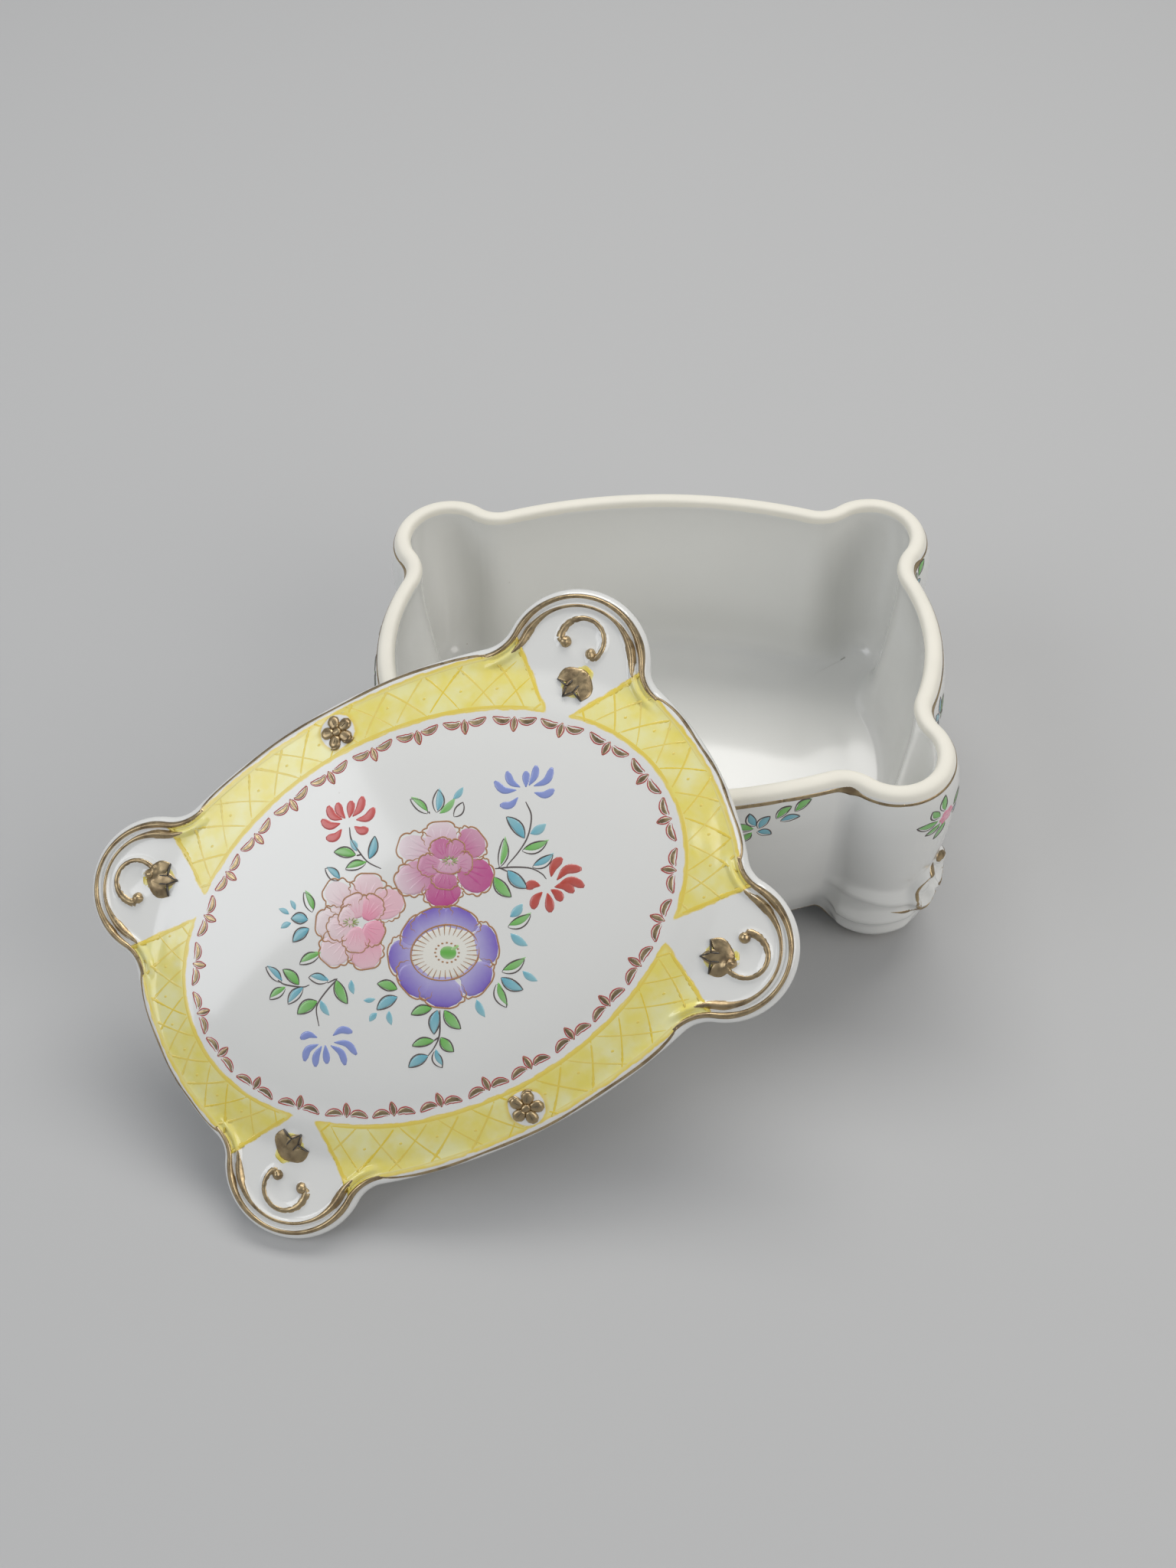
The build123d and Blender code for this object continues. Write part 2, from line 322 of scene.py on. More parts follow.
def foot_curl_line():
    """One curl of a foot, opening towards the outward diagonal: turn in degrees and height."""
    turns = np.radians(np.linspace(62, 322, 32))
    return np.stack((FOOT_CURL_TURN - FOOT_CURL_WIDE * FOOT_SCALE * np.cos(turns),
                     FOOT_CURL_HEIGHT + FOOT_CURL_TALL * np.sin(turns)), 1)


def foot_relief(turn, z):
    """How far the foot's moulded curls and ridges stand out of its bulb."""
    turn = np.abs(turn)
    rise = np.zeros(len(z))
    fade = (1 - smooth(turn, 95, 135)) * smooth(turn, 20, 38)
    for near, far, height, width in FOOT_RIDGES:
        middle = near + (far - near) * smooth(turn, 30, 95)
        rise += height * fade * np.exp(-((z - middle) / width) ** 2)
    close = (turn < 60) & (z < 26) & (z > 4)
    if close.any():
        line = foot_curl_line()
        gap = np.hypot((turn[close, None] - line[:, 0]) / FOOT_SCALE, z[close, None] - line[:, 1]).min(1)
        eye = np.hypot((turn[close] - FOOT_CURL_TURN + 4) / FOOT_SCALE, z[close] - FOOT_CURL_HEIGHT)
        rise[close] += 1.5 * np.exp(-(gap / 1.05) ** 2) + 0.6 * np.exp(-(eye / 1.5) ** 2)
    return rise


def foot_turn(x, y):
    """The angle round the nearest foot from its toe, and the distance from its middle."""
    u, v = np.abs(x) - BOX[4] - FOOT_OUT, np.abs(y) - BOX[5] - FOOT_OUT
    return (np.degrees(np.arctan2(v, u)) - FOOT_TOE + 180) % 360 - 180, np.hypot(u, v)


def lower_edge(x, y):
    """The height of the scalloped lower edge, down to the flat of each foot."""
    _, reach = foot_turn(x, y)
    return APRON_HEIGHT * smooth(reach, FOOT_FLAT, FOOT_FLAT + FOOT_SPREAD)


def wall_inset(ear, z):
    """The inset of the outside of the wall, with the foot's bulb where an ear stands."""
    inset = through(OUTSIDE, z)
    bulb = through(FOOT, z) + FOOT_OUT - (BOX[6] - inset)
    swell = np.where(bulb > 0.6, bulb, np.where(bulb < -0.6, 0, (bulb + 0.6) ** 2 / 2.4))
    return inset - swell * smooth(ear, 0.1, 1.0) * (1 - smooth(z, 21, 27))


def box_wall(points, normals, ears, z):
    """Places on the outside of the box's wall, at columns of its outline and heights."""
    place = points - normals * wall_inset(ears, z)[:, None]
    turn, _ = foot_turn(place[:, 0], place[:, 1])
    place = place + normals * (foot_relief(turn, z) * smooth(ears, 0.0, 0.5) * smooth(z, 0.3, 5.5))[:, None]
    return np.column_stack((place, z))


def to_box(points):
    """Box coordinates in millimetres to the shared frame in metres."""
    return np.array(BOX_MIDDLE) + np.asarray(points) * MM


def on_box(distance, z, lift):
    """Places on the outside of the box: distance round the outline, height, and lift off the wall."""
    point, normal, ear = BOX_FINE.at(distance)
    place = box_wall(point, normal, ear, np.asarray(z, float))
    place[:, :2] += normal * np.reshape(lift, (-1, 1))
    return to_box(place)


# ---- making meshes -----------------------------------------------------------------------------
def none_selected():
    """Leaves nothing selected, and no object being edited."""
    if bpy.context.object and bpy.context.object.mode != "OBJECT":
        bpy.ops.object.mode_set(mode="OBJECT")
    bpy.ops.object.select_all(action="DESELECT")


def named(name):
    """Names the object just added, and its mesh."""
    piece = bpy.context.object
    piece.name = piece.data.name = name
    return piece


def only(piece):
    """Makes a piece the one selected and active object."""
    none_selected()
    piece.select_set(True)
    bpy.context.view_layer.objects.active = piece


def coordinates(mesh):
    """A mesh's vertices as rows of numbers."""
    values = np.empty(len(mesh.vertices) * 3)
    mesh.vertices.foreach_get("co", values)
    return values.reshape(-1, 3)


def move_vertices(mesh, places):
    """Puts a mesh's vertices at new places."""
    mesh.vertices.foreach_set("co", np.ascontiguousarray(places, dtype=float).ravel())
    mesh.update()


def grid(name, across, along):
    """Adds a flat grid, and says which column and row each of its vertices is in."""
    none_selected()
    bpy.ops.mesh.primitive_grid_add(x_subdivisions=across, y_subdivisions=along, size=1)
    piece = named(name)
    flat = coordinates(piece.data)
    column = np.rint((flat[:, 0] + 0.5) * across).astype(int)
    row = np.rint((flat[:, 1] + 0.5) * along).astype(int)
    return piece, column, row


def close_up(piece):
    """Merges the seam and the poles of a rolled-up grid, and turns its faces outwards."""
    only(piece)
    bpy.ops.object.mode_set(mode="EDIT")
    bpy.ops.mesh.select_all(action="SELECT")
    bpy.ops.mesh.remove_doubles(threshold=0.000002)
    bpy.ops.mesh.normals_make_consistent(inside=False)
    bpy.ops.object.mode_set(mode="OBJECT")
    bpy.ops.object.shade_smooth()


def rolled(name, rows, outline):
    """A casting from rings of places: a grid that is rolled round the outline and closed at both poles."""
    piece, column, row = grid(name, outline.count, len(rows) - 1)
    rings = np.array(rows)
    move_vertices(piece.data, rings[row, column % outline.count])
    close_up(piece)
    return piece


def wash_depth(local, inset):
    """How far inside the yellow wash each point of the lid is, in millimetres."""
    x, y, z = local.T
    outside = (np.hypot(x / GARLAND[0], y / GARLAND[1]) - 1) * np.hypot(x, y)
    across, out = ear_frame(x, y)
    wedge = np.abs(across) - (1.8 + 0.85 * np.clip(out + 9.0, 0, 40))
    boss = np.hypot(x, np.abs(y) - BOSS_PLACE[1]) - 3.0
    depth = np.minimum.reduce((inset - 1.15, outside - 1.15, wedge * 0.7, boss))
    return np.where(z < 1.5, -2.0, depth)


def add_attribute(mesh, name, values):
    """Stores a number at each vertex for the materials."""
    layer = mesh.attributes.new(name, "FLOAT", "POINT")
    layer.data.foreach_set("value", np.asarray(values, dtype=np.float32))


def level_ring(ring, z):
    """A ring of places at one height."""
    return np.column_stack((ring, np.full(len(ring), float(z))))


def lid_casting():
    """The lid: dome, sloping band, rolled edge, ears with their ridges, and the hollow underside."""
    outline = LID_OUTLINE
    turn = outline.around()
    oval = np.stack((GARLAND[0] * np.cos(turn), GARLAND[1] * np.sin(turn)), 1)
    edge_at = lambda inset: outline.points - outline.normals * inset
    flange_at = lambda inset: BOX_OUTLINE.points - BOX_OUTLINE.normals * inset
    rings = [oval * share for share in np.linspace(0, 1, 27)]
    start = edge_at(PLATEAU_INSET)
    rings += [oval + (start - oval) * share for share in np.linspace(0, 1, 37)[1:-1]]
    rings += [edge_at(inset) for inset in np.linspace(PLATEAU_INSET, EDGE[0][1], 12)[:-1]]
    tops = np.concatenate(rings)
    heights = lid_height(tops[:, 0], tops[:, 1])
    rows = list(np.column_stack((tops, heights)).reshape(len(rings), outline.count, 3))
    for share in np.linspace(0, 1, 17):
        z, inset = edge_curve(EDGE, share)
        rows.append(level_ring(edge_at(inset), z))
    last, first = edge_at(EDGE[-1][1]), flange_at(FLANGE[0][1])
    rows += [level_ring(last + (first - last) * share, 0) for share in (0.25, 0.5, 0.75)]
    rows += [level_ring(flange_at(inset), z) for z, inset in FLANGE]
    last = flange_at(FLANGE[-1][1])
    under = np.stack((HOLLOW[0] * np.cos(turn), HOLLOW[1] * np.sin(turn)), 1)
    rows += [level_ring(last + (under - last) * share, 0) for share in (0.3, 0.65)]
    rows += [level_ring(under * cos(rise), HOLLOW[2] * sin(rise)) for rise in np.radians(np.linspace(0, 90,
                                                                                                     14))]
    piece = rolled("lid_casting", [to_lid(row) for row in rows], outline)
    local = from_lid(coordinates(piece.data))
    inset = LID_FINE.inset_of(local[:, 0], local[:, 1])
    add_attribute(piece.data, "wash_depth", wash_depth(local, inset))
    seat = (local[:, 2] < 0.25) & (local[:, 2] > -0.4) & (inset > 1.4)
    add_attribute(piece.data, "bare_clay", seat & (inset < 9))
    return piece


def edge_curve(profile, share):
    """A point of a rounded profile, by its share of the way along."""
    steps = np.linspace(0, 1, len(profile))
    return float(through(list(zip(steps, [p[0] for p in profile])), share)), float(
        through(list(zip(steps, [p[1] for p in profile])), share))


def box_casting():
    """The box: scalloped foot edge, outer wall with its feet, matt rim, inner wall and floor."""
    outline = BOX_OUTLINE
    turn = outline.around()
    edge_at = lambda inset: outline.points - outline.normals * inset
    under = edge_at(UNDER_INSET)
    bottom = lower_edge(under[:, 0], under[:, 1])
    core = np.stack((CORE[0] * np.cos(turn), CORE[1] * np.sin(turn)), 1)
    rows = [level_ring(core * share, APRON_HEIGHT) for share in (0, 0.5, 1)]
    for share in np.linspace(0, 1, 20)[1:]:
        ring = core + (under - core) * share
        rows.append(np.column_stack((ring, lower_edge(ring[:, 0], ring[:, 1]))))
    for share in np.concatenate((np.linspace(0, 0.5, 42)[1:-1], np.linspace(0.5, 1, 19))):
        z = bottom + (OUTSIDE[-1][0] - bottom) * share
        rows.append(box_wall(outline.points, outline.normals, outline.ears, z))
    for profile, count in ((RIM, 16), (INSIDE, 26)):
        for share in np.linspace(0, 1, count)[1:]:
            z, inset = edge_curve(profile, share)
            rows.append(level_ring(edge_at(inset), z))
    last = edge_at(INSIDE[-1][1])
    rows += [level_ring(last * share + core * 0.6 * (1 - share), FLOOR_TOP) for share in (0.8, 0.6, 0.4, 0.2)]
    rows += [level_ring(core * share, FLOOR_TOP) for share in (0.6, 0.3, 0)]
    return rolled("box_casting", [to_box(row) for row in rows], outline)


# ---- strokes -----------------------------------------------------------------------------------
PADS = {}


def pad(along, across):
    """A small closed slab, modelled once: places along and across it, its upper side, and its faces."""
    if (along, across) not in PADS:
        piece, _, _ = grid("stroke_pad", along, across)
        only(piece)
        bpy.ops.object.mode_set(mode="EDIT")
        bpy.ops.mesh.select_all(action="SELECT")
        bpy.ops.mesh.extrude_region_move(TRANSFORM_OT_translate={"value": (0, 0, 1)})
        bpy.ops.mesh.select_all(action="SELECT")
        bpy.ops.mesh.normals_make_consistent(inside=False)
        bpy.ops.object.mode_set(mode="OBJECT")
        shape = coordinates(piece.data)
        faces = [list(face.vertices) for face in piece.data.polygons]
        bpy.data.objects.remove(piece, do_unlink=True)
        PADS[along, across] = (shape[:, 0] + 0.5, shape[:, 1] * 2, shape[:, 2] > 0.5, faces)
    return PADS[along, across]


class Stroke:
    """One touch of the brush: its line, its half widths along the line, its colours and its raise."""

    def __init__(self, line, widths, colour, tip=None, edge=None, lift=0.06, steps=(10, 4)):
        self.line, self.widths = np.asarray(line, float), widths
        self.colour, self.tip, self.edge = colour, tip or colour, edge
        self.lift, self.steps = lift, steps


def along_line(line, share):
    """Points and side directions along a smoothed line."""
    steps = np.linspace(0, 1, len(line))
    if len(line) > 2:
        fine = np.linspace(0, 1, 80)
        line = np.stack([through(list(zip(steps, line[:, k])), fine) for k in (0, 1)], 1)
    lengths = np.concatenate(([0], np.cumsum(np.hypot(*np.diff(line, axis=0).T))))
    lengths /= lengths[-1]
    at = lambda part: np.stack([np.interp(part, lengths, line[:, k]) for k in (0, 1)], 1)
    way = at(share + 0.02) - at(share - 0.02)
    way /= np.linalg.norm(way, axis=1)[:, None] + 1e-9
    return at(share), np.stack((-way[:, 1], way[:, 0]), 1)


def lay(name, strokes, surface, material, body):
    """Lays strokes on a surface as one piece, each a closed crowned pad with its own colours."""
    spots, colours, faces, start = [], [], [], 0
    for stroke in strokes:
        u, v, upper, sides = pad(*stroke.steps)
        point, beside = along_line(stroke.line, u)
        width = np.interp(u, np.linspace(0, 1, len(stroke.widths)), stroke.widths)
        flat = point + beside * (width * v)[:, None]
        ends = np.minimum(1, np.minimum(u, 1 - u) * 8)
        crown = np.sqrt(np.clip(1 - v * v, 0, 1)) * (0.35 + 0.65 * ends)
        spots.append(np.column_stack((flat, np.where(upper, stroke.lift * crown - 0.012, -0.05))))
        shade = np.array(stroke.colour) * (1 - u)[:, None] + np.array(stroke.tip) * u[:, None]
        if stroke.edge is not None:
            rim = (v * v)[:, None]
            shade = shade * (1 - rim) + np.array(stroke.edge) * rim
        colours.append(shade)
        faces += [[corner + start for corner in side] for side in sides]
        start += len(u)
    spots = np.concatenate(spots)
    mesh = bpy.data.meshes.new(name)
    mesh.from_pydata(surface(spots[:, 0], spots[:, 1], spots[:, 2]).tolist(), [], faces)
    colours = np.concatenate(colours)
    layer = mesh.color_attributes.new("paint", "FLOAT_COLOR", "POINT")
    opaque = np.column_stack((colours, np.ones(len(colours)))).astype(np.float32)
    layer.data.foreach_set("color", opaque.ravel())
    mesh.polygons.foreach_set("use_smooth", [True] * len(mesh.polygons))
    mesh.materials.append(material)
    mesh.update()
    piece = bpy.data.objects.new(name, mesh)
    bpy.context.scene.collection.objects.link(piece)
    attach(piece, body)


# Half widths along a leaf and along a round dab, as shares of the widest.
LEAF = (0.05, 0.55, 0.85, 1.0, 0.97, 0.8, 0.5, 0.05)
ROUND = (0.3, 0.75, 0.95, 1.0, 0.95, 0.75, 0.3)


def scaled(profile, size):
    """Half widths of a profile at a size."""
    return [share * size for share in profile]


# ---- materials ---------------------------------------------------------------------------------
def feed(made, **values):
    """Gives a node its inputs and properties: a socket is linked, and anything else is set."""
    for name, value in values.items():
        label = name.replace("_", " ")
        if label not in made.inputs:
            setattr(made, name, value)
        elif isinstance(value, bpy.types.NodeSocket):
            made.id_data.links.new(value, made.inputs[label])
        else:
            made.inputs[label].default_value = value
    return made


def node(tree, kind, at, **values):
    """Adds a node at a place, with its inputs and properties."""
    made = tree.nodes.new(kind)
    made.location = at
    return feed(made, **values)


def numbered(tree, made, values):
    """Gives inputs by number, where several share a label, and returns the node."""
    for number, value in values.items():
        if isinstance(value, bpy.types.NodeSocket):
            tree.links.new(value, made.inputs[number])
        else:
            made.inputs[number].default_value = value
    return made


def group(name, inputs, outputs):
    """A node group with named sockets, made once."""
    tree = bpy.data.node_groups.new(name, "ShaderNodeTree")
    for label, default in inputs.items():
        kind = "NodeSocketFloat" if isinstance(default, float) else "NodeSocketColor"
        tree.interface.new_socket(label, in_out="INPUT", socket_type=kind).default_value = default
    for label, kind in outputs.items():
        tree.interface.new_socket(label, in_out="OUTPUT", socket_type=kind)
    return tree, node(tree, "NodeGroupInput", (-900, 0)).outputs, node(tree, "NodeGroupOutput", (900, 0))


def use_group(tree, name, at, **values):
    """Places a node group in a tree with its own values."""
    made = node(tree, "ShaderNodeGroup", at, node_tree=bpy.data.node_groups[name])
    return feed(made, **values).outputs


def object_place(tree, at):
    """Places on the object, in metres."""
    return node(tree, "ShaderNodeTexCoord", at).outputs["Object"]


def noise(tree, place, scale, detail, at):
    """Soft noise with patches of a scale."""
    return node(tree, "ShaderNodeTexNoise", at, Vector=place, Scale=scale, Detail=detail).outputs["Fac"]


def held(tree, name, at):
    """The values that a mesh holds under a name."""
    return node(tree, "ShaderNodeAttribute", at, attribute_name=name).outputs


def maths(tree, operation, at, *values):
    """A sum or a product of sockets and plain numbers."""
    made = node(tree, "ShaderNodeMath", at, operation=operation)
    return numbered(tree, made, dict(enumerate(values))).outputs[0]


def mixed(tree, factor, first, second, at, blend="MIX"):
    """A mix of two colours, each a socket or a plain colour."""
    made = node(tree, "ShaderNodeMix", at, data_type="RGBA", blend_type=blend)
    return numbered(tree, made, {0: factor, 6: first, 7: second}).outputs[2]


def map_range(tree, source, low, high, at, to=(0.0, 1.0), kind="SMOOTHSTEP"):
    """A step of a value between two limits, soft or straight."""
    made = node(tree, "ShaderNodeMapRange", at, interpolation_type=kind)
    return feed(made, Value=source, From_Min=low, From_Max=high, To_Min=to[0], To_Max=to[1]).outputs[0]


def kiln_speck_group():
    """Fine kiln specks, cloudy tone and a faint ripple in a glaze."""
    tree, given, end = group(
        "kiln_speck",
        {"Colour": (0.9, 0.9, 0.88, 1), "Cloud Scale": 45.0, "Cloud Depth": 0.04, "Speck Amount": 0.5},
        {"Colour": "NodeSocketColor", "Ripple": "NodeSocketFloat"})
    place = object_place(tree, (-900, -300))
    cloud = noise(tree, place, given["Cloud Scale"], 3.0, (-640, 60))
    shade = maths(tree, "MULTIPLY", (-240, 120), cloud, given["Cloud Depth"])
    shade = maths(tree, "MULTIPLY", (-120, 240), shade, 12.0)
    glaze = mixed(tree, shade, given["Colour"], (0.93, 0.925, 0.9, 1), (0, 120), "MULTIPLY")
    speck = node(tree, "ShaderNodeTexVoronoi", (-640, -240), Vector=place, Scale=260.0)
    tiny = map_range(tree, speck.outputs["Distance"], 0.07, 0.03, (-400, -240))
    rare = noise(tree, place, 90.0, 1.0, (-640, -520))
    few = map_range(tree, rare, 0.66, 0.7, (-400, -520), kind="LINEAR")
    specks = maths(tree, "MULTIPLY", (-180, -320), tiny, few)
    specks = maths(tree, "MULTIPLY", (0, -320), specks, given["Speck Amount"])
    feed(end, Colour=mixed(tree, specks, glaze, (0.3, 0.24, 0.16, 1), (300, 60)),
         Ripple=noise(tree, place, 30.0, 1.0, (-640, 360)))


def brush_group():
    """Streaks and pooling of colour laid with a brush."""
    tree, given, end = group(
        "brushwork", {"Colour": (0.8, 0.8, 0.3, 1), "Streak Scale": 900.0, "Streak Depth": 0.3},
        {"Colour": "NodeSocketColor", "Height": "NodeSocketFloat"})
    place = object_place(tree, (-900, -300))
    streak = noise(tree, place, given["Streak Scale"], 4.0, (-600, 0))
    height = maths(tree, "MULTIPLY", (-380, -100), streak, noise(tree, place, 350.0, 2.0, (-600, -300)))
    depth = maths(tree, "MULTIPLY", (-180, -100), height, given["Streak Depth"])
    feed(end, Colour=mixed(tree, depth, given["Colour"], (0.9, 0.9, 0.87, 1), (100, 0)), Height=height)


def new_material(name):
    """A material's nodes and its shader, ready for what feeds it."""
    made = bpy.data.materials.new(name)
    made.use_nodes = True
    shader = made.node_tree.nodes["Principled BSDF"]
    shader.location = (500, 0)
    return made.node_tree, shader


def bump(tree, height, strength, distance):
    """The tilt of a surface that a height raises."""
    made = node(tree, "ShaderNodeBump", (260, -320), Height=height, Strength=strength, Distance=distance)
    return made.outputs["Normal"]


def body_glaze_material(looks):
    """White glaze with a matt cream rim where the box was left bare."""
    tree, shader = new_material("white_glaze")
    kiln = use_group(tree, "kiln_speck", (-500, 100), Colour=(*looks.glaze, 1), Cloud_Scale=40.0,
                     Cloud_Depth=0.05, Speck_Amount=0.8)
    place = object_place(tree, (-1100, -200))
    height = node(tree, "ShaderNodeSeparateXYZ", (-900, -200), Vector=place).outputs["Z"]
    waver = noise(tree, place, 160.0, 2.0, (-900, -420))
    line = maths(tree, "MULTIPLY_ADD", (-700, -300), waver, 0.0009, height)
    low, high = ((RIM_HEIGHT - below) * MM for below in BARE_RIM)
    bare = map_range(tree, line, low, high, (-480, -300))
    pale, dark = (*looks.bare_clay, 1), (*(0.93 * part for part in looks.bare_clay), 1)
    clay = mixed(tree, waver, pale, dark, (-240, -120))
    feed(shader, IOR=1.5, Coat_Roughness=0.1, Base_Color=mixed(tree, bare, kiln["Colour"], clay, (0, 60)),
         Roughness=map_range(tree, bare, 0.0, 1.0, (0, -140), (0.16, 0.62)),
         Coat_Weight=map_range(tree, bare, 0.0, 1.0, (0, -400), (0.55, 0.0)),
         Normal=bump(tree, kiln["Ripple"], 0.12, 0.0006))


def lid_glaze_material(looks):
    """White glaze with the brushed yellow wash of the band, and the bare seat underneath."""
    tree, shader = new_material("painted_glaze")
    kiln = use_group(tree, "kiln_speck", (-500, 200), Colour=(*looks.glaze, 1), Cloud_Scale=35.0,
                     Cloud_Depth=0.03, Speck_Amount=0.5)
    place = object_place(tree, (-1300, -400))
    fray = noise(tree, place, 420.0, 3.0, (-1100, -400))
    cloud = noise(tree, place, 170.0, 3.0, (-1100, -660))
    depth = held(tree, "wash_depth", (-1100, -100))["Fac"]
    ragged = maths(tree, "MULTIPLY_ADD", (-880, -200), fray, 0.9, depth)
    cover = map_range(tree, ragged, 0.42, 0.72, (-660, -160))
    pooled = map_range(tree, ragged, 1.5, 0.6, (-660, -420))
    blotch = map_range(tree, cloud, 0.35, 0.7, (-660, -680))
    wash = mixed(tree, blotch, (*looks.wash, 1), (*looks.wash_pale, 1), (-420, -420))
    wash = mixed(tree, pooled, wash, (*looks.wash_deep, 1), (-220, -420))
    brush = use_group(tree, "brushwork", (-20, -420), Colour=wash, Streak_Scale=520.0, Streak_Depth=0.5)
    colour = mixed(tree, cover, kiln["Colour"], brush["Colour"], (200, 60))
    bare = map_range(tree, held(tree, "bare_clay", (-400, -860))["Fac"], 0.4, 0.6, (-160, -860))
    feed(shader, IOR=1.5, Coat_Weight=0.6, Coat_Roughness=0.08,
         Base_Color=mixed(tree, bare, colour, (*looks.bare_clay, 1), (300, 200)),
         Roughness=map_range(tree, bare, 0.0, 1.0, (200, -140), (0.14, 0.6)),
         Normal=bump(tree, kiln["Ripple"], 0.1, 0.0006))


def gilding_material(looks):
    """Burnished liquid gold, thin and brown where it is rubbed."""
    tree, shader = new_material("gilding")
    place = object_place(tree, (-900, 0))
    rub = noise(tree, place, 420.0, 4.0, (-660, 100))
    brushed = noise(tree, place, 1300.0, 2.0, (-660, -200))
    worn = map_range(tree, rub, 0.42, 0.68, (-420, 100))
    gold = mixed(tree, worn, (*looks.gold, 1), (*looks.gold_brown, 1), (-180, 100))
    paint = held(tree, "paint", (-660, 360))["Color"]
    feed(shader, Metallic=1.0, Base_Color=mixed(tree, 1.0, gold, paint, (60, 160), "MULTIPLY"),
         Roughness=map_range(tree, brushed, 0.3, 0.7, (60, -160), (0.26, 0.46)),
         Normal=bump(tree, brushed, 0.25, 0.00005))


def enamel_material(name, depth, gloss):
    """Overglaze enamel in the colours held by each stroke."""
    tree, shader = new_material(name)
    brush = use_group(tree, "brushwork", (-200, 60), Colour=held(tree, "paint", (-500, 100))["Color"],
                      Streak_Scale=1100.0, Streak_Depth=depth)
    feed(shader, Roughness=gloss, IOR=1.5, Coat_Weight=0.4, Coat_Roughness=0.06, Base_Color=brush["Colour"],
         Normal=bump(tree, brush["Height"], 0.2, 0.00006))


# ---- settings ----------------------------------------------------------------------------------
def colour_setting(label, about, default):
    return bpy.props.FloatVectorProperty(name=label, description=about, subtype="COLOR", size=3,
                                         default=default,
                                         min=0.0, max=1.0)


class GlazeSettings(bpy.types.PropertyGroup):
    """Colours of the castings and of the brushed wash."""
    glaze: colour_setting("Glaze", "White of the glazed clay", (0.80, 0.80, 0.775))
    bare_clay: colour_setting("Bare clay", "Cream of the rim and the lid's seat, left without glaze",
                              (0.88, 0.845, 0.74))
    wash: colour_setting("Wash", "Yellow of the brushed band", (0.84, 0.72, 0.10))
    wash_pale: colour_setting("Pale wash", "The band where the brush was nearly dry", (0.85, 0.81, 0.33))
    wash_deep: colour_setting("Deep wash", "The band where colour pooled at its borders", (0.80, 0.60, 0.03))


class GildingSettings(bpy.types.PropertyGroup):
    """Colours and widths of the gilt lines."""
    gold: colour_setting("Gold", "Burnished gold", (0.47, 0.36, 0.21))
    gold_brown: colour_setting("Worn gold", "Gold rubbed thin and brown", (0.30, 0.22, 0.13))
    line: bpy.props.FloatProperty(name="Line", description="Half width of a gilt line, in millimetres",
                                  default=0.3,
                                  min=0.1, max=1.0)
    raise_by: bpy.props.FloatProperty(name="Raise", description="Thickness of the gilding, in millimetres",
                                      default=0.05, min=0.01, max=0.3)


class EnamelSettings(bpy.types.PropertyGroup):
    """Colours of the painted flowers and leaves."""
    green: colour_setting("Green", "Leaf green", (0.13, 0.46, 0.06))
    turquoise: colour_setting("Turquoise", "Blue leaves", (0.12, 0.42, 0.53))
    red: colour_setting("Red", "Upper left flower", (0.58, 0.05, 0.04))
    vermilion: colour_setting("Vermilion", "Right hand flower", (0.48, 0.03, 0.008))
    blue: colour_setting("Blue", "Two pale flowers", (0.20, 0.27, 0.62))
    magenta: colour_setting("Magenta", "Upper peony", (0.50, 0.045, 0.24))
    pink: colour_setting("Pink", "Lower peony", (0.80, 0.22, 0.36))
    purple: colour_setting("Purple", "Anemone", (0.17, 0.09, 0.50))
    outline: colour_setting("Outline", "Drawn lines round leaves and stems", (0.07, 0.05, 0.045))
    outline_gold: colour_setting("Gold outline", "Drawn lines round the petals", (0.40, 0.19, 0.075))


class StudioSettings(bpy.types.PropertyGroup):
    """The floor, the light and the lens."""
    floor: colour_setting("Floor", "Plain pale floor", (0.50, 0.50, 0.497))
    lens: bpy.props.FloatProperty(name="Lens", description="Focal length in millimetres", default=48.971,
                                  min=10,
                                  max=200)


# ---- painted motifs ----------------------------------------------------------------------------
WHITE, DARK = (1.0, 1.0, 1.0), (0.035, 0.025, 0.015)    # gilding takes its own colour times the paint's
GARLAND_RED = (0.42, 0.04, 0.03)
DRY_WASH = (0.80, 0.78, 0.42)
GARLAND_REPEATS = 28
TRELLIS_REPEATS = 46
SQUARE = 3.76                           # side of one square of the bouquet's squared-up drawing, mm
DRAWING_MIDDLE = (7.84, 7.84)
DRAWING_RIGHT, DRAWING_UP, DRAWING_CENTRE = (0.911, -0.466), (0.448, 0.880), (0.6, 0.6)


def drawn(points):
    """Places of the drawing, in squares across and down, to lid coordinates."""
    points = np.atleast_2d(np.asarray(points, float))
    u, v = (points[:, 0] - DRAWING_MIDDLE[0]) * SQUARE, (DRAWING_MIDDLE[1] - points[:, 1]) * SQUARE
    return np.stack((DRAWING_CENTRE[0] + DRAWING_RIGHT[0] * u + DRAWING_UP[0] * v,
                     DRAWING_CENTRE[1] + DRAWING_RIGHT[1] * u + DRAWING_UP[1] * v), 1)


def loop_of(line, widths, count=21):
    """The two sides of a stroke's shape, as one line from its start round and back."""
    share = np.linspace(0, 1, count)
    point, beside = along_line(np.asarray(line, float), share)
    width = np.interp(share, np.linspace(0, 1, len(widths)), widths)[:, None]
    return np.concatenate((point + beside * width, (point - beside * width)[::-1]))


def petal_shape(base, tip, width, bend=0.0):
    """The line and half widths of a petal that is broad at its tip, in squares."""
    base, tip = np.array(base, float), np.array(tip, float)
    way = tip - base
    side = np.array((-way[1], way[0])) * bend
    line = np.array((base, (base + tip) / 2 + side, tip))
    return line, scaled((0.25, 0.6, 0.85, 1.0, 1.02, 0.95, 0.72, 0.3), width)


